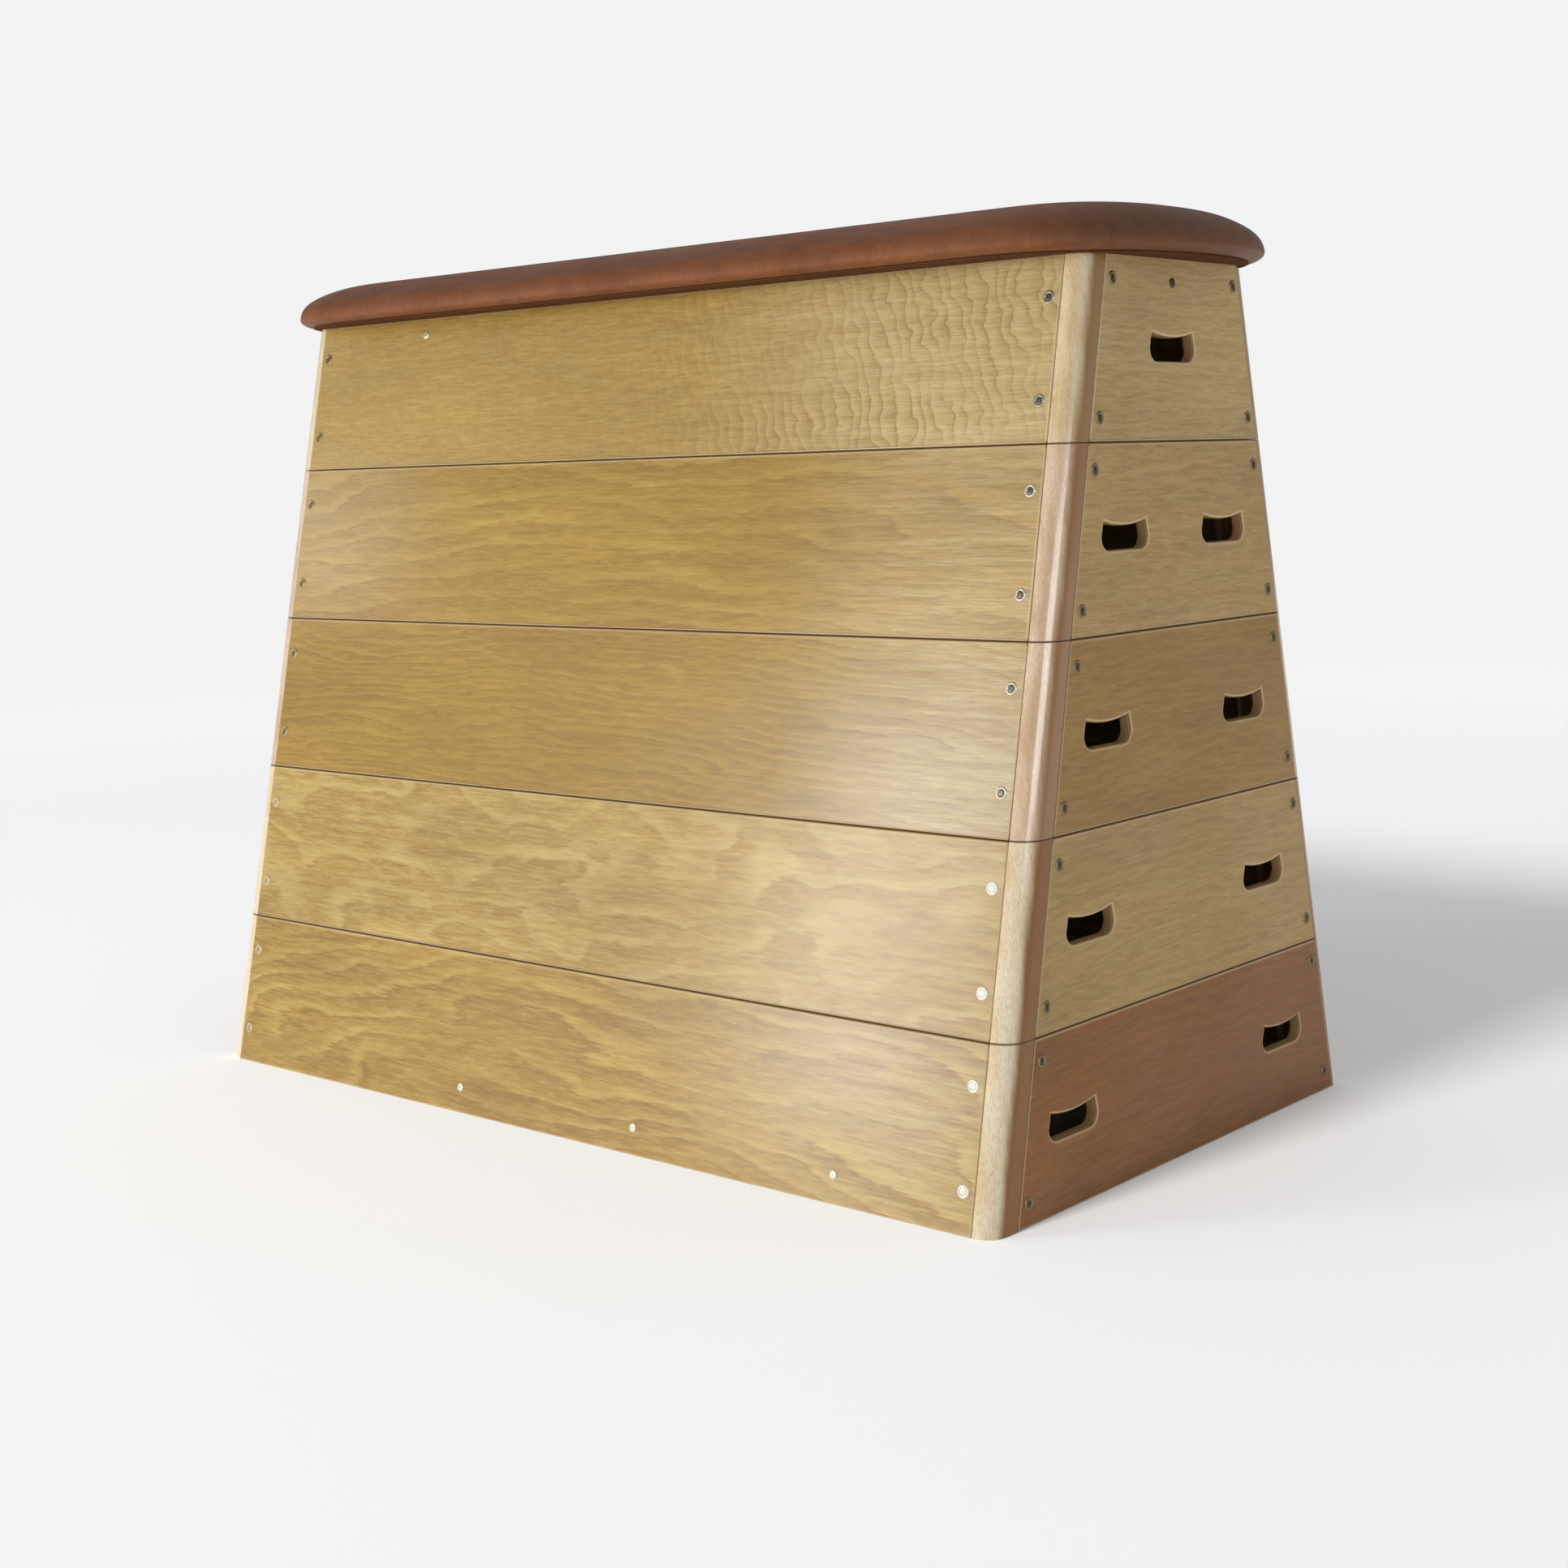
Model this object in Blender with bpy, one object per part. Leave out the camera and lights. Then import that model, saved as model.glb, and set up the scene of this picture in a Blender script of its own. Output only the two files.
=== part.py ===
"""Vaulting box in five stacked wooden sections with a padded top.

Every section is a tapered frame: two long plywood side panels and two end panels with hand
holes, screwed into the rebates of four rounded corner posts. A dowel on each post seats in
a socket in the post above, so a section lifts straight off. The top section also carries a
foam pad on a plywood board, held by two bearers and two cleats.

X runs along the length, Y across the width and Z up. The origin is on the floor, under the
middle of the box. Sizes are in metres.
"""

import math

import bmesh
import bpy
from mathutils import Matrix, Vector

# Overall sizes. Length and width are measured over the virtual sharp corners.
BOTTOM_HEIGHT = 0.203
LOWER_HEIGHT = 0.211
MIDDLE_HEIGHT = 0.209
UPPER_HEIGHT = 0.209
TOP_HEIGHT = 0.202
FLOOR_LENGTH = 1.356
FLOOR_WIDTH = 0.774
TOP_LENGTH = 1.332
TOP_WIDTH = 0.338

# Clearances
GAP = 0.0003
DOWEL_CLEARANCE = 0.0006

# Panels and corner posts
PANEL = 0.015
POST_ROUND_SIDE = 0.028
POST_ROUND_END = 0.025
POST_RECESS = 0.001
POST_SIDE = 0.029
POST_NARROW_END = 0.027
POST_WIDE_END_AT_TOP = 0.037
POST_WIDE_END_AT_FLOOR = 0.046
LAP = 0.032
POST_BLOCK = 0.030

# Dowels that register one section on the next
DOWEL_RADIUS = 0.010
DOWEL_HEIGHT = 0.018
DOWEL_CHAMFER = 0.003
DOWEL_FROM_PANEL = 0.020
SOCKET_SPARE_DEPTH = 0.002

# Hand holes in the end panels
HOLE_WIDTH = 0.092
HOLE_HEIGHT = 0.031
HOLE_LEAN = 0.004
HOLE_SAG = 0.005
HOLE_LOW_ROUND = 0.0145
HOLE_FROM_PANEL_EDGE = 0.089
HOLE_ABOVE_MIDDLE = {
    "bottom": -0.0035,
    "lower": -0.001,
    "middle": -0.0015,
    "upper": 0.003,
    "top": 0.003,
}

# Screws, and the cup washers under those at the panels' corners
HEAD_RADIUS = 0.0056
WASHER_RADIUS = 0.0075
HEAD_RISE = 0.0016
SHANK_RADIUS = 0.0022
SCREW_FROM_EDGE = 0.015
SIDE_SCREW_SPREAD = 0.110
END_SCREW_SPREAD = 0.150

# Floor battens inside the bottom section, and their screws
BATTEN_THICKNESS = 0.020
BATTEN_HEIGHT = 0.045
BATTEN_ABOVE_FLOOR = 0.010
BATTEN_END_CLEARANCE = 0.002
BATTEN_SCREW_CENTRE = 0.140
BATTEN_SCREW_PITCH = 0.315

# Bearers and cleats under the pad board
BEARER_AT = 0.411
BEARER_WIDTH = 0.045
BEARER_HEIGHT = 0.045
BEARER_SCREW_BELOW_TOP = 0.023
BEARER_SCREW_LENGTH = 0.045
CLEAT_THICKNESS = 0.028
CLEAT_WIDTH = 0.120
CLEAT_HEIGHT = 0.050
CLEAT_SCREW_BELOW_TOP = 0.027
CLEAT_SCREW_LENGTH = 0.035
PAD_SCREW_SPREAD = 0.160
PAD_SCREW_BITE = 0.008

# Pad: board, foam and cover
PAD_OVER_END = 0.070
PAD_OVER_SIDE = 0.068
PAD_CROWN = 0.066
PAD_RIM = 0.0113
PAD_ROLL = 0.0245
PAD_CORNER_LENGTH = 0.190
PAD_END_STRAIGHT = 0.004
PAD_PLAN_POWER = 2.24
PAD_DOME_POWER = 2.38
BOARD = 0.012
BOARD_INSET = 0.030
COVER = 0.0015
HEM_FROM_SECTION = 0.003

# Facets
ARC_FACETS = 5
HOLE_FACETS = 4
TOP_EDGE_FACETS = 6
DOWEL_SIDES = 12
SCREW_SIDES = 8
PAD_ARC_FACETS = 10
DOME_RINGS = 7
DOME_TOP_ANGLE = math.radians(86)
ROLL_RINGS = 3

# Heights of the seams, from the floor up
SECTION_HEIGHTS = {
    "bottom": BOTTOM_HEIGHT,
    "lower": LOWER_HEIGHT,
    "middle": MIDDLE_HEIGHT,
    "upper": UPPER_HEIGHT,
    "top": TOP_HEIGHT,
}
STACK = sum(SECTION_HEIGHTS.values())


def between(at_floor, at_top, z):
    """A size that runs evenly from the floor to the top of the stack."""
    return at_floor + (at_top - at_floor) * z / STACK


def half_length(z):
    return between(FLOOR_LENGTH, TOP_LENGTH, z) / 2


def half_width(z):
    return between(FLOOR_WIDTH, TOP_WIDTH, z) / 2


def post_end(z, wide=True):
    """Width of a corner post that shows on the end face.

    Each end has a wide post and a narrow one, set for a half turn about Z.
    """
    return between(POST_WIDE_END_AT_FLOOR, POST_WIDE_END_AT_TOP, z) if wide else POST_NARROW_END


# Lean of the faces, and what a panel measures level through its thickness
SIDE_LEAN = math.atan2(FLOOR_WIDTH - TOP_WIDTH, 2 * STACK)
END_LEAN = math.atan2(FLOOR_LENGTH - TOP_LENGTH, 2 * STACK)
SIDE_THROUGH = PANEL / math.cos(SIDE_LEAN)
END_THROUGH = PANEL / math.cos(END_LEAN)

# The pad's plan: straight sides and short straight ends, with a rounded corner between them
PAD_CORE_LENGTH = TOP_LENGTH / 2 + PAD_OVER_END - PAD_CORNER_LENGTH
PAD_CORE_WIDTH = PAD_END_STRAIGHT / 2
PAD_CORNER_WIDTH = TOP_WIDTH / 2 + PAD_OVER_SIDE - PAD_CORE_WIDTH

# Heights in the pad
HEM_UNDERSIDE = STACK - COVER
BOARD_UNDERSIDE = HEM_UNDERSIDE + COVER + GAP
BOARD_TOP = BOARD_UNDERSIDE + BOARD


def material(name, colour, roughness, metallic=0.0):
    made = bpy.data.materials.new(name)
    made.use_nodes = True
    shader = made.node_tree.nodes["Principled BSDF"]
    shader.inputs["Base Color"].default_value = (*colour, 1.0)
    shader.inputs["Roughness"].default_value = roughness
    shader.inputs["Metallic"].default_value = metallic
    made.diffuse_color = (*colour, 1.0)
    return made


def new_object(name, mesh, finish=None, parent=None):
    obj = bpy.data.objects.new(name, mesh)
    bpy.context.collection.objects.link(obj)
    if finish:
        mesh.materials.append(finish)
    obj.parent = parent
    return obj


def cutter(name, mesh):
    """A helper solid for a Boolean, left out of the render."""
    obj = new_object(name, mesh)
    obj.hide_render = True
    obj.display_type = "WIRE"
    return obj


def boolean(obj, tool, operation):
    change = obj.modifiers.new(operation.title(), "BOOLEAN")
    change.operation = operation
    change.solver = "EXACT"
    change.object = tool


def mesh_of_rings(name, solids):
    """One mesh of closed solids, each lofted through rings of points and capped at both ends."""
    shape = bmesh.new()
    for rings in solids:
        rows = [[shape.verts.new(point) for point in ring] for ring in rings]
        for low, high in zip(rows, rows[1:]):
            for i, here in enumerate(low):
                after = (i + 1) % len(low)
                shape.faces.new((here, low[after], high[after], high[i]))
        shape.faces.new(reversed(rows[0]))
        shape.faces.new(rows[-1])
    bmesh.ops.recalc_face_normals(shape, faces=shape.faces)
    mesh = bpy.data.meshes.new(name)
    shape.to_mesh(mesh)
    shape.free()
    return mesh


def smooth_round(obj, angle=math.radians(35)):
    obj.data.shade_smooth()
    obj.data.set_sharp_from_angle(angle=angle)


def turned_rings(profile, sides):
    """Rings of a round solid about local Z, from its (radius, height) profile."""
    turns = [2 * math.pi * (i + 0.5) / sides for i in range(sides)]
    return [
        [Vector((r * math.cos(t), r * math.sin(t), z)) for t in turns]
        for r, z in profile
    ]


def placed(rings, place):
    return [[place @ point for point in ring] for ring in rings]


def facing(point, direction):
    """A frame at point whose local Z runs along direction."""
    turn = Vector(direction).to_track_quat("Z", "Y").to_matrix().to_4x4()
    return Matrix.Translation(point) @ turn


def side_point(x, z, sign):
    """A point on the outer face of a side panel, and that face's outward normal."""
    normal = Vector((0, sign * math.cos(SIDE_LEAN), math.sin(SIDE_LEAN)))
    return Vector((x, sign * half_width(z), z)), normal


def end_point(y, z, sign):
    """A point on the outer face of an end panel, and that face's outward normal."""
    normal = Vector((sign * math.cos(END_LEAN), 0, math.sin(END_LEAN)))
    return Vector((sign * half_length(z), y, z)), normal


def fixed_head(point, normal, radius=WASHER_RADIUS):
    """The raised head of a driven screw, joined to the panel that it holds."""
    sunk = 0.5 * HEAD_RISE
    profile = ((radius, -sunk), (radius, sunk), (0.6 * radius, HEAD_RISE))
    return placed(turned_rings(profile, SCREW_SIDES), facing(point, normal))


def loose_screw(name, point, normal, length, finish, parent):
    """A wood screw of its own, its head seated on the face at point."""
    point_length = 2 * SHANK_RADIUS
    profile = (
        (0.3 * SHANK_RADIUS, -length),
        (SHANK_RADIUS, point_length - length),
        (SHANK_RADIUS, GAP),
        (HEAD_RADIUS, GAP),
        (HEAD_RADIUS, 0.5 * HEAD_RISE),
        (0.6 * HEAD_RADIUS, HEAD_RISE),
    )
    rings = placed(turned_rings(profile, SCREW_SIDES), facing(point, normal))
    return new_object(name, mesh_of_rings(name, [rings]), finish, parent)


def screw_hole(name, point, normal, length):
    """The cutter for a loose screw's hole, as deep as the screw with a little to spare."""
    radius = (SHANK_RADIUS + GAP) / math.cos(math.pi / SCREW_SIDES)
    profile = ((radius, -length - 2 * GAP), (radius, HEAD_RISE))
    rings = placed(turned_rings(profile, SCREW_SIDES), facing(point, normal))
    return cutter(name, mesh_of_rings(name, [rings]))


def panel_rings(low, high, outer, through, start, stop):
    """Four corners of a panel at its foot and at its head, as (along, across) pairs."""
    rings = []
    for z in (low, high):
        face, back = outer(z), outer(z) - through
        corners = ((start(z), face), (stop(z), face), (stop(z), back), (start(z), back))
        rings.append([(a, b, z) for a, b in corners])
    return rings


def side_edge(z):
    """Where a side panel ends beside its post, from the middle."""
    return half_length(z) - POST_SIDE - GAP


def end_edge(z, wide=True):
    """Where an end panel ends beside its wide or its narrow post, from the middle."""
    return half_width(z) - post_end(z, wide) - GAP


def end_panel_edges(end):
    """Where an end panel starts and stops along Y; its wide post is at the front on the right."""

    def start(z):
        return -end_edge(z, wide=end > 0)

    def stop(z):
        return end_edge(z, wide=end < 0)

    return start, stop


def hand_hole_outline():
    """The hand hole around its middle: a sagging top edge and rounded lower corners."""
    half, top, foot = HOLE_WIDTH / 2, HOLE_HEIGHT / 2, -HOLE_HEIGHT / 2
    reach = half - HOLE_LEAN
    points = []
    for i in range(TOP_EDGE_FACETS + 1):
        share = 1 - 2 * i / TOP_EDGE_FACETS
        points.append((reach * share, top - HOLE_SAG * (1 - share**2)))
    for sign, first in ((-1, 180), (1, 270)):
        middle = sign * (half - HOLE_LOW_ROUND)
        for i in range(HOLE_FACETS + 1):
            turn = math.radians(first + 90 * i / HOLE_FACETS)
            across = middle + HOLE_LOW_ROUND * math.cos(turn)
            up = foot + HOLE_LOW_ROUND * (1 + math.sin(turn))
            points.append((across, up))
    return points


def post_outline(z, wide):
    """A post's plan at height z, as distances in from the section's sharp corner."""
    side_back, end_back = SIDE_THROUGH + GAP, END_THROUGH + GAP
    end = post_end(z, wide)
    points = [
        (POST_SIDE, POST_RECESS),
        (POST_SIDE, side_back),
        (POST_SIDE + LAP, side_back),
        (POST_SIDE + LAP, side_back + POST_BLOCK),
        (end_back + POST_BLOCK, end + LAP),
        (end_back, end + LAP),
        (end_back, end),
        (POST_RECESS, end),
    ]
    for i in range(ARC_FACETS + 1):
        turn = math.radians(90 * i / ARC_FACETS)
        inward = POST_RECESS + POST_ROUND_SIDE * (1 - math.cos(turn))
        across = POST_RECESS + POST_ROUND_END * (1 - math.sin(turn))
        points.append((inward, across))
    return points


def dowel_place(z, sign_x, sign_y):
    """Middle of the dowel on a post at a seam."""
    x = half_length(z) - END_THROUGH - DOWEL_FROM_PANEL
    y = half_width(z) - SIDE_THROUGH - DOWEL_FROM_PANEL
    return Matrix.Translation((sign_x * x, sign_y * y, z))


def section_span(low, high):
    """Foot and head of a section's pieces: half a gap inside each seam, and on the floor."""
    return (low + GAP / 2 if low > 0 else low), high - GAP / 2


def build_side_panels(section, low, high, finish, parent):
    panels = {}
    middle = (low + high) / 2
    foot, head = section_span(low, high)
    for word, sign in (("front", -1), ("back", 1)):
        name = f"{section}_side_panel_{word}"
        rings = panel_rings(foot, head, half_width, SIDE_THROUGH, lambda z: -side_edge(z), side_edge)
        turned = [[(x, sign * y, z) for x, y, z in ring] for ring in rings]
        panel = new_object(name, mesh_of_rings(name, [turned]), finish, parent)
        heads = [
            fixed_head(*side_point(end * (side_edge(z) - SCREW_FROM_EDGE), z, sign))
            for end in (-1, 1)
            for z in (middle - SIDE_SCREW_SPREAD / 2, middle + SIDE_SCREW_SPREAD / 2)
        ]
        if section == "bottom":
            z = BATTEN_ABOVE_FLOOR + BATTEN_HEIGHT / 2
            places = [-sign * (BATTEN_SCREW_CENTRE + i * BATTEN_SCREW_PITCH) for i in (-1, 0, 1)]
            heads += [fixed_head(*side_point(x, z, sign), HEAD_RADIUS) for x in places]
        boolean(panel, cutter(f"{name}_heads", mesh_of_rings(f"{name}_heads", heads)), "UNION")
        panels[word] = panel
    return panels


def hand_hole_places(section, middle):
    """Where the hand holes sit across an end panel: one on the top section, two elsewhere."""
    if section == "top":
        return (0.0,)
    across = end_edge(middle) - HOLE_FROM_PANEL_EDGE
    return (-across, across)


def build_end_panels(section, low, high, finish, parent):
    panels = {}
    middle = (low + high) / 2
    foot, head = section_span(low, high)
    outline = hand_hole_outline()
    for word, sign in (("left", -1), ("right", 1)):
        name = f"{section}_end_panel_{word}"
        start, stop = end_panel_edges(sign)
        rings = panel_rings(foot, head, half_length, END_THROUGH, start, stop)
        turned = [[(sign * x, y, z) for y, x, z in ring] for ring in rings]
        panel = new_object(name, mesh_of_rings(name, [turned]), finish, parent)
        heads = [
            fixed_head(*end_point(edge(z) - side * SCREW_FROM_EDGE, z, sign))
            for side, edge in ((-1, start), (1, stop))
            for z in (middle - END_SCREW_SPREAD / 2, middle + END_SCREW_SPREAD / 2)
        ]
        boolean(panel, cutter(f"{name}_heads", mesh_of_rings(f"{name}_heads", heads)), "UNION")
        near, far = half_length(high) - 2 * END_THROUGH, half_length(low) + END_THROUGH
        centre = middle + HOLE_ABOVE_MIDDLE[section]
        bores = [
            [[(sign * x, place + across, centre + up) for across, up in outline] for x in (near, far)]
            for place in hand_hole_places(section, middle)
        ]
        bore = cutter(f"{name}_bore", mesh_of_rings(f"{name}_bore", bores))
        boolean(panel, bore, "DIFFERENCE")
        panels[word] = panel
    return panels


def build_posts(section, low, high, finish, parent):
    foot, head = section_span(low, high)
    for word, sign_x, sign_y in (
        ("front_left", -1, -1),
        ("front_right", 1, -1),
        ("back_left", -1, 1),
        ("back_right", 1, 1),
    ):
        name = f"{section}_corner_post_{word}"
        rings = [
            [
                (sign_x * (half_length(z) - inward), sign_y * (half_width(z) - across), z)
                for inward, across in post_outline(z, wide=sign_x != sign_y)
            ]
            for z in (foot, head)
        ]
        post = new_object(name, mesh_of_rings(name, [rings]), finish, parent)
        if section != "top":
            root, tip = -DOWEL_RADIUS, DOWEL_HEIGHT
            profile = (
                (DOWEL_RADIUS, root),
                (DOWEL_RADIUS, tip - DOWEL_CHAMFER),
                (DOWEL_RADIUS - DOWEL_CHAMFER, tip),
            )
            solid = placed(turned_rings(profile, DOWEL_SIDES), dowel_place(high, sign_x, sign_y))
            boolean(post, cutter(f"{name}_dowel", mesh_of_rings(f"{name}_dowel", [solid])), "UNION")
        if section != "bottom":
            radius = DOWEL_RADIUS + DOWEL_CLEARANCE
            depth = DOWEL_HEIGHT + SOCKET_SPARE_DEPTH
            profile = ((radius, -DOWEL_CHAMFER), (radius, depth))
            solid = placed(turned_rings(profile, DOWEL_SIDES), dowel_place(low, sign_x, sign_y))
            boolean(post, cutter(f"{name}_socket", mesh_of_rings(f"{name}_socket", [solid])), "DIFFERENCE")
        smooth_round(post)


def build_battens(finish, parent):
    """Floor battens that stiffen the long foot of the bottom section."""
    low, high = BATTEN_ABOVE_FLOOR, BATTEN_ABOVE_FLOOR + BATTEN_HEIGHT

    def face(z):
        return half_width(z) - SIDE_THROUGH - GAP

    def reach(z):
        return half_length(z) - POST_SIDE - LAP - BATTEN_END_CLEARANCE

    for word, sign in (("front", -1), ("back", 1)):
        name = f"floor_batten_{word}"
        rings = panel_rings(low, high, face, BATTEN_THICKNESS, lambda z: -reach(z), reach)
        turned = [[(x, sign * y, z) for x, y, z in ring] for ring in rings]
        new_object(name, mesh_of_rings(name, [turned]), finish, parent)


def build_bearers(side_panels, finish, steel, parent):
    """Cross bearers under the pad board, each with one screw through a side panel."""
    low, high = STACK - BEARER_HEIGHT, BOARD_UNDERSIDE - GAP
    half = BEARER_WIDTH / 2
    bearers = []
    for word, sign, panel in (("left", -1, "front"), ("right", 1, "back")):
        name = f"pad_bearer_{word}"
        middle = sign * BEARER_AT
        rings = []
        for z in (low, high):
            reach = half_width(z) - SIDE_THROUGH - GAP
            corners = ((-half, -reach), (half, -reach), (half, reach), (-half, reach))
            rings.append([(middle + x, y, z) for x, y in corners])
        bearer = new_object(name, mesh_of_rings(name, [rings]), finish, parent)
        point, normal = side_point(middle, STACK - BEARER_SCREW_BELOW_TOP, sign)
        loose_screw(f"bearer_screw_{word}", point, normal, BEARER_SCREW_LENGTH, steel, parent)
        hole = screw_hole(f"bearer_screw_{word}_hole", point, normal, BEARER_SCREW_LENGTH)
        boolean(bearer, hole, "DIFFERENCE")
        boolean(side_panels[panel], hole, "DIFFERENCE")
        bearers.append(bearer)
    return bearers


def build_cleats(end_panels, finish, steel, parent):
    """A cleat inside each end panel that carries the end of the pad board."""
    low, high = STACK - CLEAT_HEIGHT, BOARD_UNDERSIDE - GAP
    half = CLEAT_WIDTH / 2
    for word, sign in (("left", -1), ("right", 1)):
        name = f"pad_cleat_{word}"
        rings = []
        for z in (low, high):
            face = half_length(z) - END_THROUGH - GAP
            back = face - CLEAT_THICKNESS
            corners = ((back, -half), (face, -half), (face, half), (back, half))
            rings.append([(sign * x, y, z) for x, y in corners])
        cleat = new_object(name, mesh_of_rings(name, [rings]), finish, parent)
        point, normal = end_point(0, STACK - CLEAT_SCREW_BELOW_TOP, sign)
        loose_screw(f"cleat_screw_{word}", point, normal, CLEAT_SCREW_LENGTH, steel, parent)
        hole = screw_hole(f"cleat_screw_{word}_hole", point, normal, CLEAT_SCREW_LENGTH)
        boolean(cleat, hole, "DIFFERENCE")
        boolean(end_panels[word], hole, "DIFFERENCE")


def pad_outline(inset):
    """The pad's plan outline drawn in by inset."""
    return plan_ring(PAD_CORNER_LENGTH - inset, PAD_CORNER_WIDTH - inset)


def plan_ring(round_x, round_y):
    """A ring of points around the pad's core, with corners of the given length and width."""
    quarter = []
    for i in range(PAD_ARC_FACETS + 1):
        turn = math.pi / 2 * i / PAD_ARC_FACETS
        x = PAD_CORE_LENGTH + round_x * max(math.cos(turn), 0.0) ** (2 / PAD_PLAN_POWER)
        y = PAD_CORE_WIDTH + round_y * math.sin(turn) ** (2 / PAD_PLAN_POWER)
        quarter.append((x, y))
    back = list(reversed(quarter))
    return (
        quarter
        + [(-x, y) for x, y in back]
        + [(-x, -y) for x, y in quarter]
        + [(x, -y) for x, y in back]
    )


def dome_rings(skin):
    """Rings of the pad from its widest rim to its crown, each drawn in by skin."""
    round_x, round_y = PAD_CORNER_LENGTH - skin, PAD_CORNER_WIDTH - skin
    rings = []
    for i in range(DOME_RINGS + 1):
        rise = DOME_TOP_ANGLE * i / DOME_RINGS
        share = math.cos(rise) ** (2 / PAD_DOME_POWER)
        lift = math.sin(rise) ** (2 / PAD_DOME_POWER)
        z = STACK + PAD_RIM + (PAD_CROWN - PAD_RIM - skin) * lift
        ring = plan_ring(round_x * share, round_y * share)
        rings.append([(x, y, z) for x, y in ring])
    return rings


def roll_rings(skin):
    """Rings of the roll under the rim, from the underside outwards, without the rim itself."""
    low = HEM_UNDERSIDE + skin
    drop = STACK + PAD_RIM - low
    rings = []
    for i in range(ROLL_RINGS):
        turn = math.pi / 2 * i / ROLL_RINGS
        inset = skin + PAD_ROLL * (1 - math.sin(turn))
        z = low + drop * (1 - math.cos(turn))
        rings.append([(x, y, z) for x, y in pad_outline(inset)])
    return rings


def hem_edge(z):
    """Inner edge of the cover's hem: the nearest point beside the top section's footprint."""
    radius = POST_ROUND_SIDE + HEM_FROM_SECTION
    core_x = half_length(STACK) + HEM_FROM_SECTION - radius
    core_y = half_width(STACK) + HEM_FROM_SECTION - radius
    ring = []
    for x, y in pad_outline(PAD_ROLL):
        core = Vector((max(-core_x, min(core_x, x)), max(-core_y, min(core_y, y))))
        out = (Vector((x, y)) - core).normalized() * radius
        ring.append((core.x + out.x, core.y + out.y, z))
    return ring


def build_pad(bearers, wood, foam, leather, steel, parent):
    board_ring = pad_outline(BOARD_INSET)
    board = new_object(
        "pad_board",
        mesh_of_rings(
            "pad_board", [[[(x, y, z) for x, y in board_ring] for z in (BOARD_UNDERSIDE, BOARD_TOP)]]
        ),
        wood,
        parent,
    )

    inner = COVER + GAP
    recess_ring = pad_outline(BOARD_INSET - GAP)
    recess = [[(x, y, z) for x, y in recess_ring] for z in (BOARD_TOP + GAP, HEM_UNDERSIDE + inner)]
    foam_rings = recess + roll_rings(inner) + dome_rings(inner)
    block = new_object("pad_foam", mesh_of_rings("pad_foam", [foam_rings]), foam, parent)
    smooth_round(block)

    outside = [hem_edge(HEM_UNDERSIDE)] + roll_rings(0) + dome_rings(0)
    inside = [hem_edge(HEM_UNDERSIDE + COVER)] + roll_rings(COVER) + dome_rings(COVER)
    rings = list(reversed(inside)) + outside
    skin = new_object("pad_cover", mesh_of_rings("pad_cover", [rings]), leather, parent)
    smooth_round(skin)

    length = BOARD_UNDERSIDE - (STACK - BEARER_HEIGHT) + PAD_SCREW_BITE
    for bearer, end in zip(bearers, ("left", "right")):
        x = -BEARER_AT if end == "left" else BEARER_AT
        for side, sign in (("front", -1), ("back", 1)):
            name = f"pad_screw_{side}_{end}"
            point = Vector((x, sign * PAD_SCREW_SPREAD / 2, STACK - BEARER_HEIGHT))
            down = Vector((0, 0, -1))
            loose_screw(name, point, down, length, steel, parent)
            hole = screw_hole(f"{name}_hole", point, down, length)
            boolean(bearer, hole, "DIFFERENCE")
            boolean(board, hole, "DIFFERENCE")


def main():
    for obj in list(bpy.data.objects):
        bpy.data.objects.remove(obj, do_unlink=True)

    side_wood = material("varnished_birch_plywood", (0.47, 0.33, 0.12), 0.32)
    end_wood = material("end_plywood", (0.31, 0.21, 0.09), 0.38)
    red_wood = material("bottom_end_plywood", (0.20, 0.10, 0.045), 0.38)
    post_wood = material("beech_post", (0.45, 0.26, 0.13), 0.30)
    plain_wood = material("pine_batten", (0.55, 0.40, 0.22), 0.6)
    foam = material("pad_foam", (0.75, 0.70, 0.45), 0.9)
    leather = material("brown_leatherette", (0.23, 0.09, 0.05), 0.5)
    steel = material("zinc_screw", (0.75, 0.74, 0.70), 0.3, 1.0)

    low = 0.0
    side_panels, end_panels, parents = {}, {}, {}
    for section, height in SECTION_HEIGHTS.items():
        high = low + height
        parent = new_object(f"{section}_section", None)
        parents[section] = parent
        ends = red_wood if section == "bottom" else end_wood
        side_panels[section] = build_side_panels(section, low, high, side_wood, parent)
        end_panels[section] = build_end_panels(section, low, high, ends, parent)
        build_posts(section, low, high, post_wood, parent)
        low = high

    build_battens(plain_wood, parents["bottom"])
    bearers = build_bearers(side_panels["top"], plain_wood, steel, parents["top"])
    build_cleats(end_panels["top"], plain_wood, steel, parents["top"])
    build_pad(bearers, plain_wood, foam, leather, steel, parents["top"])


main()
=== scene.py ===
"""Looks of the vaulting box: eased and drilled plywood, rounded posts, screws and a padded top.

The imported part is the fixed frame. Each section's boards, posts and screws are modelled here in
their place and ride on its body, and the pad is one stuffed cushion over its board.
X runs along the length, Y across the width and Z up. Sizes are in metres.
"""

import math

import bmesh
import bpy
from mathutils import Matrix, Vector


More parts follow.
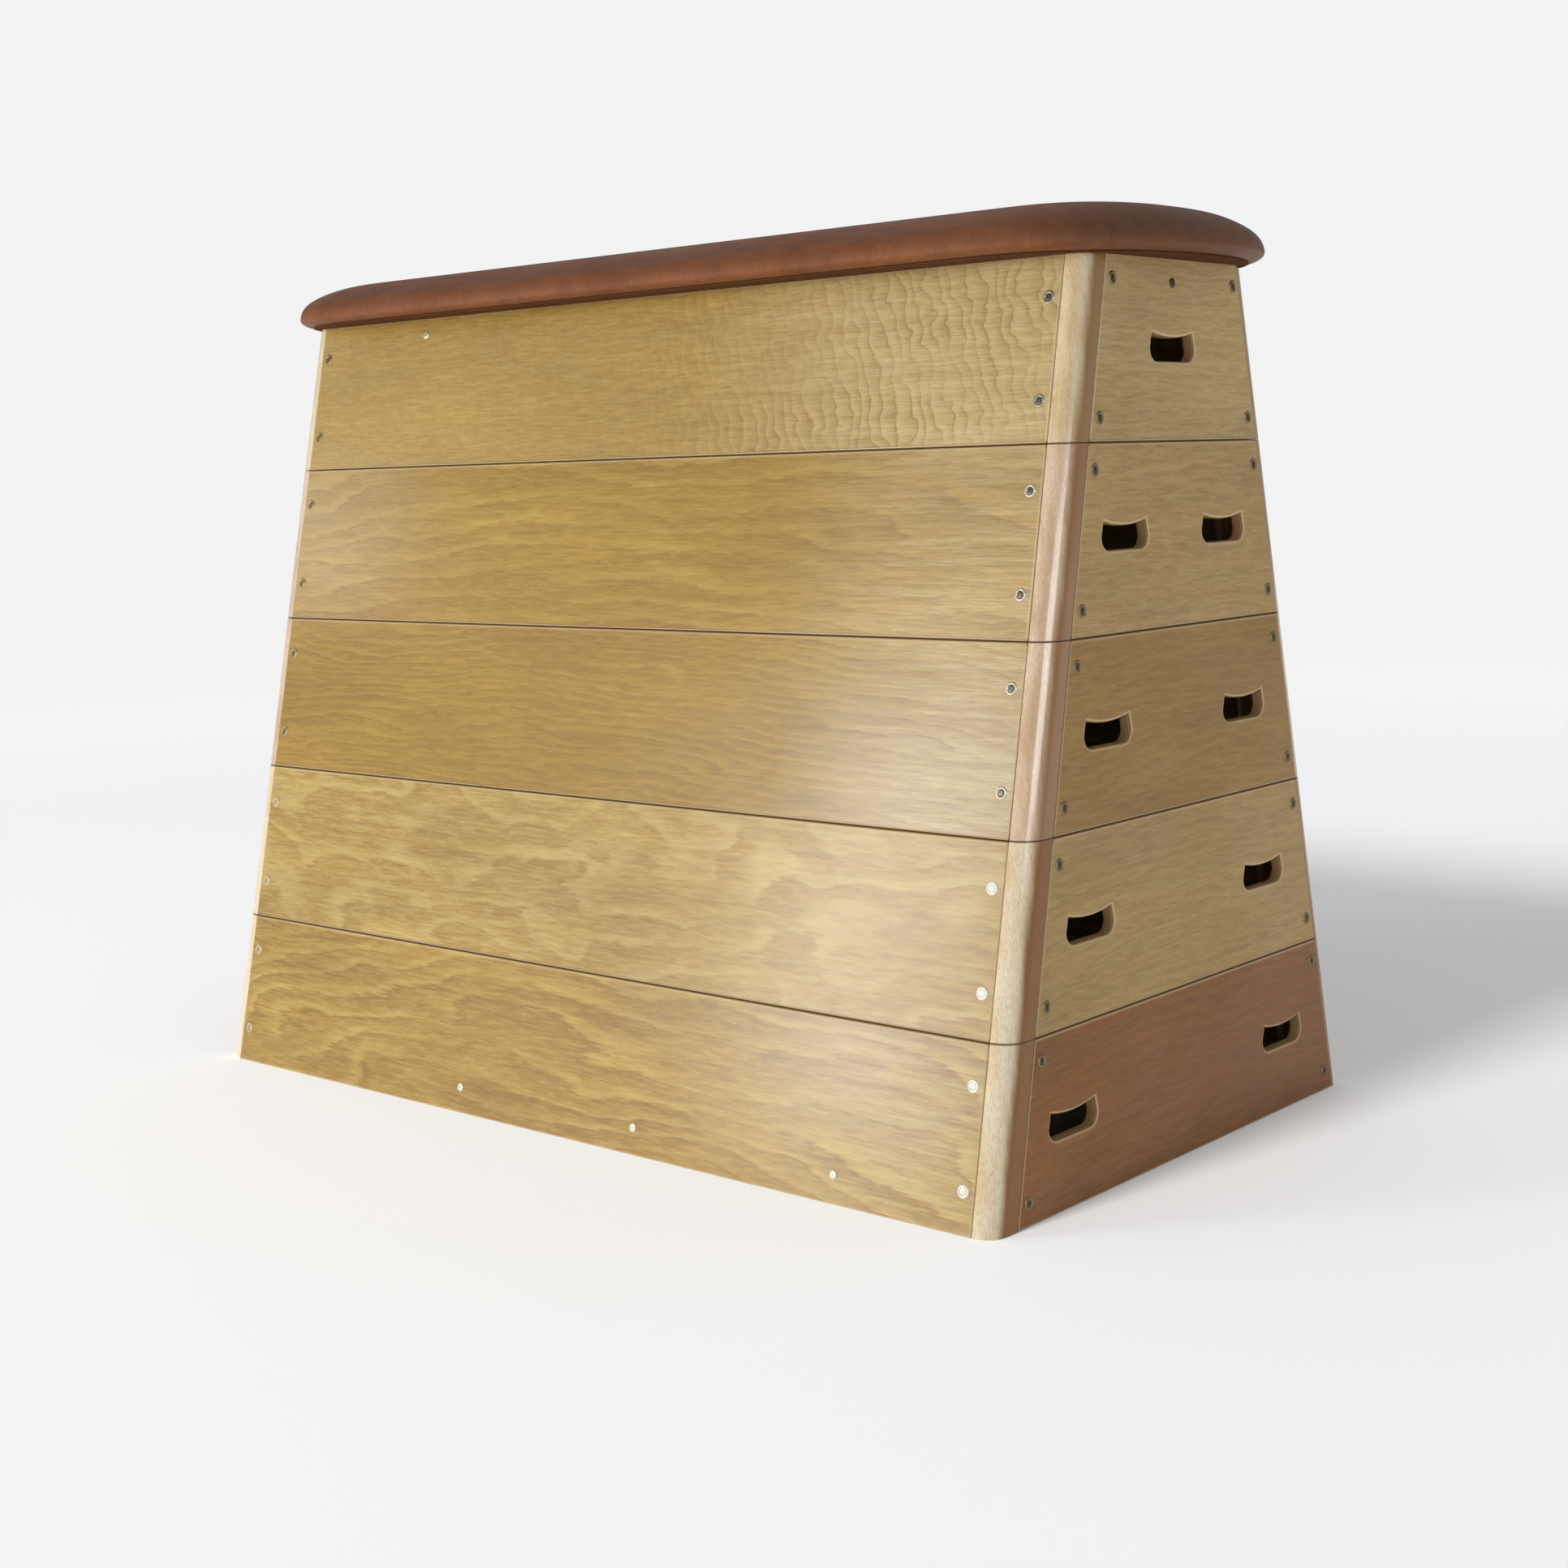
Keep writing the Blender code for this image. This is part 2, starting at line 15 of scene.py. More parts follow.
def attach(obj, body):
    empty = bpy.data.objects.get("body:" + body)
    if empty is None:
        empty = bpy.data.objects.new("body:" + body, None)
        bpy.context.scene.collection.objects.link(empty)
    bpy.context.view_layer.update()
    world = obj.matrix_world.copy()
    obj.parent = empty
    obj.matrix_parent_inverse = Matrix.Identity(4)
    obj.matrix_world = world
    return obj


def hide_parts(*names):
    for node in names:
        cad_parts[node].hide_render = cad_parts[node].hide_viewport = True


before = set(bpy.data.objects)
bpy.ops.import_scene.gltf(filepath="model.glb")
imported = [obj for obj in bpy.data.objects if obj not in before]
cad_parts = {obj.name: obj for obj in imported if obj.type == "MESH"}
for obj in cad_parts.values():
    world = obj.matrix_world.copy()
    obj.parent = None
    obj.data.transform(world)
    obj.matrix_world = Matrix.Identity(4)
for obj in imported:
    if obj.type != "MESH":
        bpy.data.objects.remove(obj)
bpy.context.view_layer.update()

# Sizes of the part, as its source has them
SECTION_HEIGHTS = {"bottom": 0.203, "lower": 0.211, "middle": 0.209, "upper": 0.209, "top": 0.202}
STACK = sum(SECTION_HEIGHTS.values())
FLOOR_LENGTH, FLOOR_WIDTH = 1.356, 0.774
TOP_LENGTH, TOP_WIDTH = 1.332, 0.338
GAP = 0.0003
PANEL = 0.015
POST_ROUND_SIDE = 0.028
POST_SIDE = 0.029
POST_NARROW_END = 0.027
POST_WIDE_END_AT_TOP, POST_WIDE_END_AT_FLOOR = 0.037, 0.046
HOLE_WIDTH, HOLE_HEIGHT = 0.092, 0.031
HOLE_LEAN, HOLE_SAG, HOLE_LOW_ROUND = 0.004, 0.005, 0.0145
HOLE_FROM_PANEL_EDGE = 0.089
HOLE_ABOVE_MIDDLE = {
    "bottom": -0.0035,
    "lower": -0.001,
    "middle": -0.0015,
    "upper": 0.003,
    "top": 0.003,
}
HEAD_RADIUS, WASHER_RADIUS = 0.0056, 0.0075
SCREW_FROM_EDGE = 0.015
SIDE_SCREW_SPREAD, END_SCREW_SPREAD = 0.110, 0.150
BATTEN_SCREW_HEIGHT, BATTEN_SCREW_CENTRE, BATTEN_SCREW_PITCH = 0.0325, 0.140, 0.315
BEARER_AT, BEARER_SCREW_BELOW_TOP, BEARER_SCREW_LENGTH = 0.411, 0.023, 0.045
CLEAT_SCREW_BELOW_TOP, CLEAT_SCREW_LENGTH = 0.027, 0.035
PAD_OVER_END, PAD_OVER_SIDE, PAD_CROWN = 0.070, 0.068, 0.066
PAD_RIM, PAD_ROLL, PAD_CORNER_LENGTH, PAD_END_STRAIGHT = 0.0113, 0.0245, 0.190, 0.004
PAD_PLAN_POWER, PAD_DOME_POWER = 2.24, 2.38
BOARD, BOARD_INSET, COVER, HEM_FROM_SECTION = 0.012, 0.030, 0.0015, 0.003
SIDE_LEAN = math.atan2(FLOOR_WIDTH - TOP_WIDTH, 2 * STACK)
END_LEAN = math.atan2(FLOOR_LENGTH - TOP_LENGTH, 2 * STACK)
SIDE_THROUGH, END_THROUGH = PANEL / math.cos(SIDE_LEAN), PANEL / math.cos(END_LEAN)

# Finish of the boards and posts
ARRIS, INNER_ARRIS, POST_ARRIS = 0.0026, 0.0008, 0.0012
HOLE_RIM, HOLE_INNER_RIM = 0.0038, 0.0015
PLIES_IN_PANEL = 11

# An edge is sharp past this turn, in radians, and a point this near to a face is on it
SHARP = 0.5
ON_FACE = 1e-5


def between(at_floor, at_top, z):
    return at_floor + (at_top - at_floor) * z / STACK


def half_length(z):
    return between(FLOOR_LENGTH, TOP_LENGTH, z) / 2


def half_width(z):
    return between(FLOOR_WIDTH, TOP_WIDTH, z) / 2


def side_edge(z):
    return half_length(z) - POST_SIDE - GAP


def end_edge(z, wide):
    post = between(POST_WIDE_END_AT_FLOOR, POST_WIDE_END_AT_TOP, z) if wide else POST_NARROW_END
    return half_width(z) - post - GAP


# Modelling by hand


def deselect():
    bpy.ops.object.select_all(action="DESELECT")


def pick_up(obj):
    deselect()
    obj.select_set(True)
    bpy.context.view_layer.objects.active = obj


def added(name):
    """The primitive that an operator has just added, named and with its place in its mesh."""
    obj = bpy.context.active_object
    obj.name = name
    obj.data.name = name
    pick_up(obj)
    bpy.ops.object.transform_apply(location=True, rotation=True, scale=True)
    return obj


def block(name, low, high):
    """A box-shaped start for a piece, from its lowest to its highest corner."""
    low, high = Vector(low), Vector(high)
    deselect()
    bpy.ops.mesh.primitive_cube_add(size=1, location=(low + high) / 2, scale=high - low)
    return added(name)


def pick_none(kind):
    """In edit mode, turns to points or edges, with none selected."""
    bpy.ops.mesh.select_mode(type=kind)
    bpy.ops.mesh.select_all(action="DESELECT")


def edit(obj):
    pick_up(obj)
    bpy.ops.object.mode_set(mode="EDIT")
    pick_none("VERT")


def leave_edit():
    bpy.ops.object.mode_set(mode="OBJECT")


def pick_points(obj, wanted):
    """In edit mode, selects just the points whose place is wanted."""
    pick_none("VERT")
    shape = bmesh.from_edit_mesh(obj.data)
    for point in shape.verts:
        point.select_set(bool(wanted(point.co)))
    shape.select_flush(True)
    bmesh.update_edit_mesh(obj.data)


def pick_edges(obj, wanted, fits=lambda line: True):
    """In edit mode, selects just the sharp edges that fit and whose two ends are wanted."""
    pick_none("EDGE")
    shape = bmesh.from_edit_mesh(obj.data)
    for line in shape.edges:
        ends = all(wanted(point.co) for point in line.verts)
        line.select_set(ends and line.calc_face_angle(0) > SHARP and fits(line))
    bmesh.update_edit_mesh(obj.data)


def shift_points(obj, wanted, by):
    pick_points(obj, wanted)
    bpy.ops.transform.translate(value=by)


def bevel_edges(obj, wanted, width, segments, fits=lambda line: True, **settings):
    pick_edges(obj, wanted, fits)
    bpy.ops.mesh.bevel(offset=width, segments=segments, affect="EDGES", **settings)


def apply_modifier(obj, kind, **settings):
    pick_up(obj)
    change = obj.modifiers.new(kind.title(), kind)
    for setting, value in settings.items():
        setattr(change, setting, value)
    bpy.ops.object.modifier_apply(modifier=change.name)


def break_edges(obj, width, segments, angle):
    """Bevels every edge that turns by more than an angle in degrees."""
    apply_modifier(obj, "BEVEL", width=width, segments=segments, limit_method="ANGLE",
                   angle_limit=math.radians(angle))


def finish_shading(obj, angle=40):
    pick_up(obj)
    bpy.ops.object.shade_smooth_by_angle(angle=math.radians(angle))
    apply_modifier(obj, "WEIGHTED_NORMAL", keep_sharp=True, weight=80)


def new_object(name, data):
    obj = bpy.data.objects.new(name, data)
    bpy.context.collection.objects.link(obj)
    return obj


def copied(source, name, place=None):
    """A copy with a mesh of its own, moved to its place inside that mesh."""
    obj = new_object(name, source.data.copy())
    obj.data.name = name
    if place:
        obj.data.transform(place)
    return obj


def joined(name, objects):
    deselect()
    for obj in objects:
        obj.select_set(True)
    bpy.context.view_layer.objects.active = objects[0]
    bpy.ops.object.join()
    obj = bpy.context.active_object
    obj.name = obj.data.name = name
    return obj


def removed(*objects):
    for obj in objects:
        bpy.data.objects.remove(obj, do_unlink=True)


def cut(obj, tool):
    """Cuts a tool's shape out of a piece and takes the tool away."""
    apply_modifier(obj, "BOOLEAN", operation="DIFFERENCE", object=tool, solver="EXACT")
    removed(tool)


def dressed(obj, finish, slot, body, *nodes):
    """Gives a piece its finish, its body and the CAD nodes that it stands for; its slot is not used."""
    obj.data.materials.clear()
    obj.data.materials.append(finish)
    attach(obj, body)
    if nodes:
        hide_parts(*nodes)


# Materials


def rgb(hexed):
    """A colour written as in a paint chart, as the linear colour that a shader takes."""
    values = [int(hexed[i : i + 2], 16) / 255 for i in (0, 2, 4)]
    return (*(v / 12.92 if v <= 0.04045 else ((v + 0.055) / 1.055) ** 2.4 for v in values), 1.0)


class Nodes:
    """Adds nodes to a tree and wires them, so that a finish reads from top to bottom."""

    def __init__(self, tree):
        self.tree = tree

    def add(self, kind, inputs=None, **settings):
        node = self.tree.nodes.new(kind)
        for setting, value in settings.items():
            setattr(node, setting, value)
        for socket, value in (inputs or {}).items():
            self.feed(node.inputs[socket], value)
        return node

    def feed(self, socket, value):
        """Links another socket, or sets a value; text is a paint-chart colour."""
        if isinstance(value, bpy.types.NodeSocket):
            self.tree.links.new(value, socket)
        else:
            socket.default_value = rgb(value) if isinstance(value, str) else value

    def fill(self, sockets, *values):
        for socket, value in zip(sockets, values):
            self.feed(socket, value)

    def wire(self, sockets, **values):
        """Feeds sockets by their names, with _ for a space."""
        for name, value in values.items():
            self.feed(sockets[name.replace("_", " ")], value)

    def use(self, group, **inputs):
        """Places a group with this finish's own values."""
        node = self.add("ShaderNodeGroup", node_tree=group)
        self.wire(node.inputs, **inputs)
        return node.outputs

    def place(self):
        return self.add("ShaderNodeTexCoord").outputs["Object"]

    def axes(self, vector):
        return self.add("ShaderNodeSeparateXYZ", {"Vector": vector}).outputs

    def math(self, operation, *values):
        node = self.add("ShaderNodeMath", operation=operation)
        self.fill(node.inputs, *values)
        return node.outputs[0]

    def times(self, first, second, plus=None):
        if plus is None:
            return self.math("MULTIPLY", first, second)
        return self.math("MULTIPLY_ADD", first, second, plus)

    def minus(self, first, second):
        return self.math("SUBTRACT", first, second)

    def size(self, value):
        return self.math("ABSOLUTE", value)

    def larger(self, first, second):
        return self.math("MAXIMUM", first, second)

    def spread(self, value, low, high, to_low=0.0, to_high=1.0):
        """Maps a value smoothly from one range to another, held inside it."""
        node = self.add("ShaderNodeMapRange", interpolation_type="SMOOTHSTEP")
        self.fill(node.inputs, value, low, high, to_low, to_high)
        return node.outputs["Result"]

    def mix(self, share, first, second, blend="MIX"):
        node = self.add("ShaderNodeMix", data_type="RGBA", blend_type=blend)
        self.fill([node.inputs[i] for i in (0, 6, 7)], share, first, second)
        return node.outputs[2]

    def tint(self, colour, mask, share, shade):
        """Lays a share of a shade over a colour, where the mask is."""
        return self.mix(self.times(mask, share), colour, shade)

    def noise(self, place, scale, detail=2.0, roughness=0.5):
        """Noise at one scale, or at a scale for each axis."""
        if not isinstance(scale, float):
            place = self.add("ShaderNodeMapping", {"Vector": place, "Scale": scale}).outputs["Vector"]
            scale = 1.0
        inputs = {"Vector": place, "Scale": scale, "Detail": detail, "Roughness": roughness}
        return self.add("ShaderNodeTexNoise", inputs).outputs["Fac"]

    def surface(self, shader, colour, rough, relief=None, strength=0.0, distance=0.0004):
        """Gives a shader its colour, its roughness and a relief from a height."""
        self.wire(shader.inputs, Base_Color=colour, Roughness=rough)
        if relief:
            inputs = {"Strength": strength, "Distance": distance, "Height": relief}
            self.wire(shader.inputs, Normal=self.add("ShaderNodeBump", inputs).outputs[0])


def effect(name, inputs, outputs):
    """A shader node group with named inputs, each with its plain value, and its nodes to fill."""
    group = bpy.data.node_groups.new(name, "ShaderNodeTree")
    for socket, value in inputs.items():
        kind = "NodeSocketVector" if isinstance(value, tuple) else "NodeSocketFloat"
        made = group.interface.new_socket(socket, in_out="INPUT", socket_type=kind)
        made.default_value = value
    for socket in outputs:
        group.interface.new_socket(socket, in_out="OUTPUT", socket_type="NodeSocketFloat")
    nodes = Nodes(group)
    return group, nodes, nodes.add("NodeGroupInput").outputs, nodes.add("NodeGroupOutput").inputs


def new_finish(name, **constants):
    """A Principled material with its plain values set on the shader's own sockets."""
    made = bpy.data.materials.new(name)
    made.use_nodes = True
    nodes = Nodes(made.node_tree)
    shader = made.node_tree.nodes["Principled BSDF"]
    nodes.wire(shader.inputs, **constants)
    return made, nodes, shader


ORIGIN = (0.0, 0.0, 0.0)


def veneer_figure():
    """Growth lines of rotary-cut veneer: level lines of a wandering height, with flecks."""
    group, n, given, result = effect(
        "veneer_figure",
        {"Place": ORIGIN, "Pitch": 0.010, "Wander": 0.05, "Patch": 0.10, "Stretch": 5.0, "Arch": 0.0,
         "Arch Centre": 0.0, "Ripple": 0.002, "Upright": 0.0, "Figured From": -9.0,
         "Grain": (22.0, 60.0, 240.0)},
        ("Bands", "Rims", "Flecks", "Streaks", "Fibres", "Tone"),
    )
    place = given["Place"]
    at = n.axes(place)
    along = n.minus(at["X"], given["Arch Centre"])
    size = n.math("DIVIDE", 1.0, given["Patch"])
    long_size = n.math("DIVIDE", size, given["Stretch"])
    patches = n.add("ShaderNodeCombineXYZ", {"X": long_size, "Y": size, "Z": size}).outputs[0]
    broad = n.noise(place, patches, 2.0, 0.45)
    jagged = n.noise(place, given["Grain"], 3.0, 0.6)
    height = n.times(n.minus(broad, 0.5), given["Wander"], plus=at["Z"])
    height = n.times(at["X"], given["Upright"], plus=height)
    height = n.times(n.times(along, along), given["Arch"], plus=height)
    height = n.times(n.minus(jagged, 0.5), given["Ripple"], plus=height)
    phase = n.math("FRACT", n.math("DIVIDE", height, given["Pitch"]))
    clouds = n.spread(n.noise(place, (6.0, 9.0, 14.0)), 0.3, 0.62, 0.25, 1.0)
    figured_to = n.math("ADD", given["Figured From"], 0.35)
    figured = n.times(n.spread(at["X"], given["Figured From"], figured_to, 0.12, 1.0), clouds)
    bands = n.times(n.spread(phase, 0.20, 0.92), 0.5)
    bands = n.times(n.spread(phase, 0.80, 0.92), 0.5, plus=bands)
    bands = n.times(bands, n.spread(phase, 1.0, 0.95))
    rims = n.times(n.spread(phase, 0.0, 0.06), n.spread(phase, 0.48, 0.10))
    n.wire(
        result,
        Bands=n.times(bands, figured),
        Rims=n.times(rims, figured),
        Flecks=n.spread(n.noise(place, (34.0, 240.0, 300.0), 3.0, 0.65), 0.40, 0.66),
        Fibres=n.spread(n.noise(place, (30.0, 200.0, 560.0), 4.0, 0.7), 0.35, 0.66),
        Streaks=n.spread(n.noise(place, (5.0, 30.0, 110.0), 5.0, 0.65), 0.36, 0.68),
        Tone=n.spread(n.noise(place, (2.4, 3.0, 9.0), 3.0, 0.55), 0.3, 0.7),
    )
    return group


def ply_layers():
    """What a panel's edge shows, from the depth below its outer face: an eased rim, then plies."""
    group, n, given, result = effect(
        "ply_layers",
        {"Depth": 0.0, "Place": ORIGIN, "Seam": 0.0},
        ("Edge", "Cross Ply", "Glue", "Eased", "Grime"),
    )
    depth = given["Depth"]
    ply = n.math("DIVIDE", depth, PANEL / PLIES_IN_PANEL)
    inside = n.spread(depth, PANEL - 0.0004, PANEL - 0.0009)
    glue = n.size(n.minus(n.math("FRACT", ply), 0.5))
    patchy = n.spread(n.noise(given["Place"], 14.0), 0.2, 0.7, 0.55, 1.0)
    # Darkened where an eased edge turns away, in patches, and on the arrises at the seams: painted shade
    # with some soiling.
    joint = n.times(n.spread(depth, 0.0010, 0.0016), n.spread(depth, 0.0034, 0.0028))
    seam = n.times(n.spread(depth, 0.0002, 0.0006), given["Seam"])
    n.wire(
        result,
        Edge=n.times(n.spread(depth, ARRIS, ARRIS + 0.0004), inside),
        Cross_Ply=n.math("GREATER_THAN", n.math("FRACT", n.times(ply, 0.5)), 0.5),
        Glue=n.spread(glue, 0.42, 0.48),
        Eased=n.times(n.spread(depth, 0.00002, 0.00012), n.spread(depth, 0.0016, 0.0010)),
        Grime=n.larger(n.times(joint, patchy), seam),
    )
    return group


def seam_reach():
    """How far the nearest seam between two sections is, or a line at a height above it."""
    group, n, given, result = effect("seam_reach", {"Place": ORIGIN, "Above": 0.0}, ("Distance",))
    height = n.minus(n.axes(given["Place"])["Z"], given["Above"])
    nearest, seam = 1.0, 0.0
    for section_height in list(SECTION_HEIGHTS.values())[:-1]:
        seam += section_height
        nearest = n.math("MINIMUM", nearest, n.size(n.minus(height, seam)))
    n.wire(result, Distance=nearest)
    return group


def wear_and_dirt():
    """Scuffs and handling marks that a varnished gym piece gathers."""
    group, n, given, result = effect("wear_and_dirt", {"Place": ORIGIN}, ("Scuffs", "Smudges"))
    scuffs = n.noise(given["Place"], (27.0, 27.0, 180.0), 5.0, 0.7)
    smudges = n.noise(given["Place"], 7.0, 4.0, 0.6)
    n.wire(result, Scuffs=n.spread(scuffs, 0.66, 0.78), Smudges=n.spread(smudges, 0.35, 0.7))
    return group


FIGURE = veneer_figure()
PLIES = ply_layers()
SEAMS = seam_reach()
WEAR = wear_and_dirt()


def plywood(name, colours, depth_along, figure, strength, coat=0.65, stains_and_sheens=()):
    """Varnished plywood: figured face veneer, stained in places and painted paler as a sheen, with plies and
    with painted shade and soiling at its edges.

    Its strength is that of the bands, rims, flecks and streaks. A stain or painted sheen is a share, a shade
    and, for each axis that it fades along, the place where it starts and the place where it is full.
    """
    colour, dark, light = colours.split()
    made, n, shader = new_finish(
        name, Coat_Weight=coat, Coat_Roughness=0.2, Coat_IOR=1.45, Specular_IOR_Level=0.35
    )
    place = n.place()
    at = n.axes(place)
    if depth_along == "Y":
        lean, half, run = SIDE_LEAN, FLOOR_WIDTH / 2, place
    else:
        lean, half = END_LEAN, FLOOR_LENGTH / 2
        run = n.add("ShaderNodeCombineXYZ", {"X": at["Y"], "Y": at["X"], "Z": at["Z"]}).outputs[0]
    out = n.times(at["Z"], math.sin(lean), plus=n.times(n.size(at[depth_along]), math.cos(lean)))
    depth = n.minus(half * math.cos(lean), out)
    grain = n.use(FIGURE, Place=run, **figure)
    seam = n.spread(n.use(SEAMS, Place=place)["Distance"], 0.0045, 0.003)
    plies = n.use(PLIES, Depth=depth, Place=place, Seam=seam)
    wear = n.use(WEAR, Place=place)
    bands, rims, flecks, streaks = strength
    # Each stain, or pale patch of painted sheen, fades in along its axes.
    for share, shade, *fades in stains_and_sheens:
        for axis, start, full in fades:
            share = n.times(share, n.spread(at[axis], start, full))
        colour = n.mix(share, colour, shade)
    colour = n.tint(colour, grain["Bands"], bands, dark)
    colour = n.tint(colour, grain["Streaks"], streaks, dark)
    colour = n.tint(colour, grain["Fibres"], 0.46, dark)
    colour = n.tint(colour, grain["Flecks"], flecks, light)
    colour = n.tint(colour, grain["Rims"], rims, light)
    tone = n.mix(grain["Tone"], (0.90, 0.89, 0.87, 1), (1.08, 1.08, 1.08, 1))
    colour = n.mix(1.0, colour, tone, "MULTIPLY")
    # A dark line just above each seam: painted shade under the upper board's arris.
    seam_shade = n.spread(n.use(SEAMS, Place=place, Above=0.0010)["Distance"], 0.0032, 0.0010)
    colour = n.tint(colour, seam_shade, 0.7, "7A5526")
    # A pale line just below each seam: painted highlight on the lower board's arris.
    seam_highlight = n.spread(n.use(SEAMS, Place=place, Above=-ARRIS)["Distance"], 0.0018, 0.0006)
    colour = n.tint(colour, seam_highlight, 0.2, "E0CC94")
    # Paler on the eased edges: partly rubbed varnish, partly a painted highlight.
    colour = n.tint(colour, plies["Eased"], 0.5, "E0C89C")
    edge = n.mix(plies["Cross Ply"], "C9A774", "9C7647")
    edge = n.tint(edge, plies["Glue"], 0.6, "5A3A1E")
    colour = n.mix(plies["Edge"], colour, edge)
    # Painted shade, with patchy soiling, on the rounded edges and at the seams.
    colour = n.tint(colour, plies["Grime"], 0.75, "7A5729")
    rough = n.times(wear["Smudges"], 0.10, plus=n.times(grain["Flecks"], 0.08, plus=0.36))
    rough = n.times(wear["Scuffs"], 0.15, plus=rough)
    relief = n.times(grain["Flecks"], -0.5, plus=n.times(grain["Fibres"], 0.6))
    n.surface(shader, colour, rough, relief, 0.22)
    return made


def solid_wood(name, light, dark, brown, coat=1.0):
    """Varnished solid timber with straight grain up the post, and painted shade in brown where it faces the
    end.
    """
    made, n, shader = new_finish(
        name, Coat_Weight=coat, Coat_Roughness=0.14, Coat_IOR=1.5, Specular_IOR_Level=0.3
    )
    place = n.place()
    at = n.axes(place)
    broad = n.noise(place, (60.0, 60.0, 3.0), 3.0, 0.55)
    fine = n.noise(place, (900.0, 900.0, 22.0))
    flecks = n.noise(place, (420.0, 420.0, 120.0), 2.0, 0.6)
    wear = n.use(WEAR, Place=place)
    slope = (FLOOR_WIDTH - TOP_WIDTH - FLOOR_LENGTH + TOP_LENGTH) / 2 / STACK
    corner = n.times(at["Z"], slope, plus=(FLOOR_LENGTH - FLOOR_WIDTH) / 2)
    turned = n.minus(n.minus(n.size(at["X"]), n.size(at["Y"])), corner)
    turned = n.times(n.minus(broad, 0.5), 0.012, plus=turned)
    colour = n.mix(n.spread(broad, 0.3, 0.7), light, dark)
    # Brown over the part that turns to the end: painted shade on the side away from the light.
    colour = n.mix(n.spread(turned, 0.003, 0.020), colour, brown)
    colour = n.tint(colour, n.spread(fine, 0.4, 0.7), 0.25, brown)
    colour = n.tint(colour, n.spread(flecks, 0.62, 0.72), 0.2, "7A4A2A")
    # A dark line at each seam: painted shade in the joint.
    seam_shade = n.spread(n.use(SEAMS, Place=place)["Distance"], 0.0016, 0.0008)
    colour = n.tint(colour, seam_shade, 0.8, "6E4A26")
    n.surface(shader, colour, n.times(wear["Smudges"], 0.12, plus=0.30), fine, 0.1, 0.0003)
    return made


def softwood(name, light, dark, along):
    """Bare planed pine, with its grain along one axis."""
    made, n, shader = new_finish(name, Specular_IOR_Level=0.3)
    place = n.place()
    scale = {"X": (1.5, 55.0, 55.0), "Y": (55.0, 1.5, 55.0)}[along]
    rings = n.math("FRACT", n.times(n.noise(place, scale, 1.0, 0.4), 7.0))
    fibre = n.noise(place, [v * 9 for v in scale], 3.0, 0.6)
    colour = n.tint(light, n.spread(rings, 0.2, 0.95), 0.7, dark)
    colour = n.tint(colour, fibre, 0.35, dark)
    n.surface(shader, colour, n.times(fibre, 0.2, plus=0.55), fibre, 0.2)
    return made


def leatherette():
    """Brown vinyl leather with a fine pebble grain, and painted shade round the middle of its roll, at its
    two ends and under it.
    """
    made, n, shader = new_finish("brown_leatherette", Specular_IOR_Level=0.25)
    place = n.place()
    cells = {"Vector": place, "Scale": 620.0, "Randomness": 0.9}
    pebbles = n.add("ShaderNodeTexVoronoi", cells).outputs["Distance"]
    cells = {"Vector": place, "Scale": 260.0}
    creases = n.add("ShaderNodeTexVoronoi", cells, feature="DISTANCE_TO_EDGE").outputs["Distance"]
    mottle = n.noise(place, (30.0, 60.0, 14.0), 4.0, 0.65)
    streaks = n.noise(place, (210.0, 210.0, 26.0), 3.0, 0.6)
    patches = n.noise(place, 4.0, 3.0)
    wear = n.use(WEAR, Place=place)
    colour = n.mix(n.spread(mottle, 0.3, 0.72), "784629", "8E5631")
    colour = n.tint(colour, n.spread(streaks, 0.45, 0.7), 0.3, "5A3622")
    colour = n.tint(colour, n.spread(patches, 0.4, 0.7), 0.25, "8E5A38")
    at = n.axes(place)
    height = n.minus(at["Z"], STACK)
    # A darker band round the middle of the roll: painted shade that flattens its rounded shading.
    toned_part = n.times(n.spread(height, 0.006, 0.022), n.spread(height, 0.052, 0.034))
    colour = n.tint(colour, toned_part, 0.35, "5E3820")
    # Darker towards the two ends: painted shade where they turn from the light.
    colour = n.tint(colour, n.spread(n.size(at["X"]), 0.62, 0.71), 0.4, "5A4430")
    # Darker under the roll: painted shade.
    colour = n.mix(n.spread(height, 0.0022, 0.0008), colour, "6B4128")
    crease = n.spread(creases, 0.0, 0.06)
    colour = n.tint(colour, n.minus(1.0, crease), 0.3, "4A2A1E")
    relief = n.times(crease, 0.6, plus=n.times(pebbles, -0.6))
    n.surface(shader, colour, n.times(wear["Smudges"], -0.12, plus=0.60), relief, 0.25)
    return made


def woven_backing():
    """The dull cloth back of the leatherette, seen where the cover is turned under."""
    made, n, shader = new_finish("cover_backing", Specular_IOR_Level=0.05)
    place = n.place()
    at = n.axes(place)
    weave = n.larger(*(n.math("PINGPONG", at[axis], 0.0006) for axis in "XY"))
    weave = n.spread(weave, 0.0002, 0.0006)
    soiled = n.spread(n.noise(place, 12.0, 3.0, 0.6), 0.35, 0.7)
    colour = n.tint(n.mix(weave, "5E3A24", "6E482E"), soiled, 0.4, "4C2E1C")
    n.surface(shader, colour, 0.95, weave, 0.4, 0.0003)
    return made


def plated_steel(name, bright, dull, rough, metallic=1.0):
    """Plated steel, dull in spots and over the half of each side that hands touch more."""
    made, n, shader = new_finish(name, Metallic=metallic)
    place = n.place()
    at = n.axes(place)
    toned_part = n.spread(n.times(at["X"], n.math("SIGN", at["Y"])), 0.0, 0.1)
    tarnish = n.noise(place, 900.0, 3.0, 0.6)
    share = n.larger(n.spread(tarnish, 0.45, 0.75), toned_part)
    n.surface(shader, n.mix(share, bright, dull), n.times(tarnish, 0.25, plus=rough - 0.08))
    return made


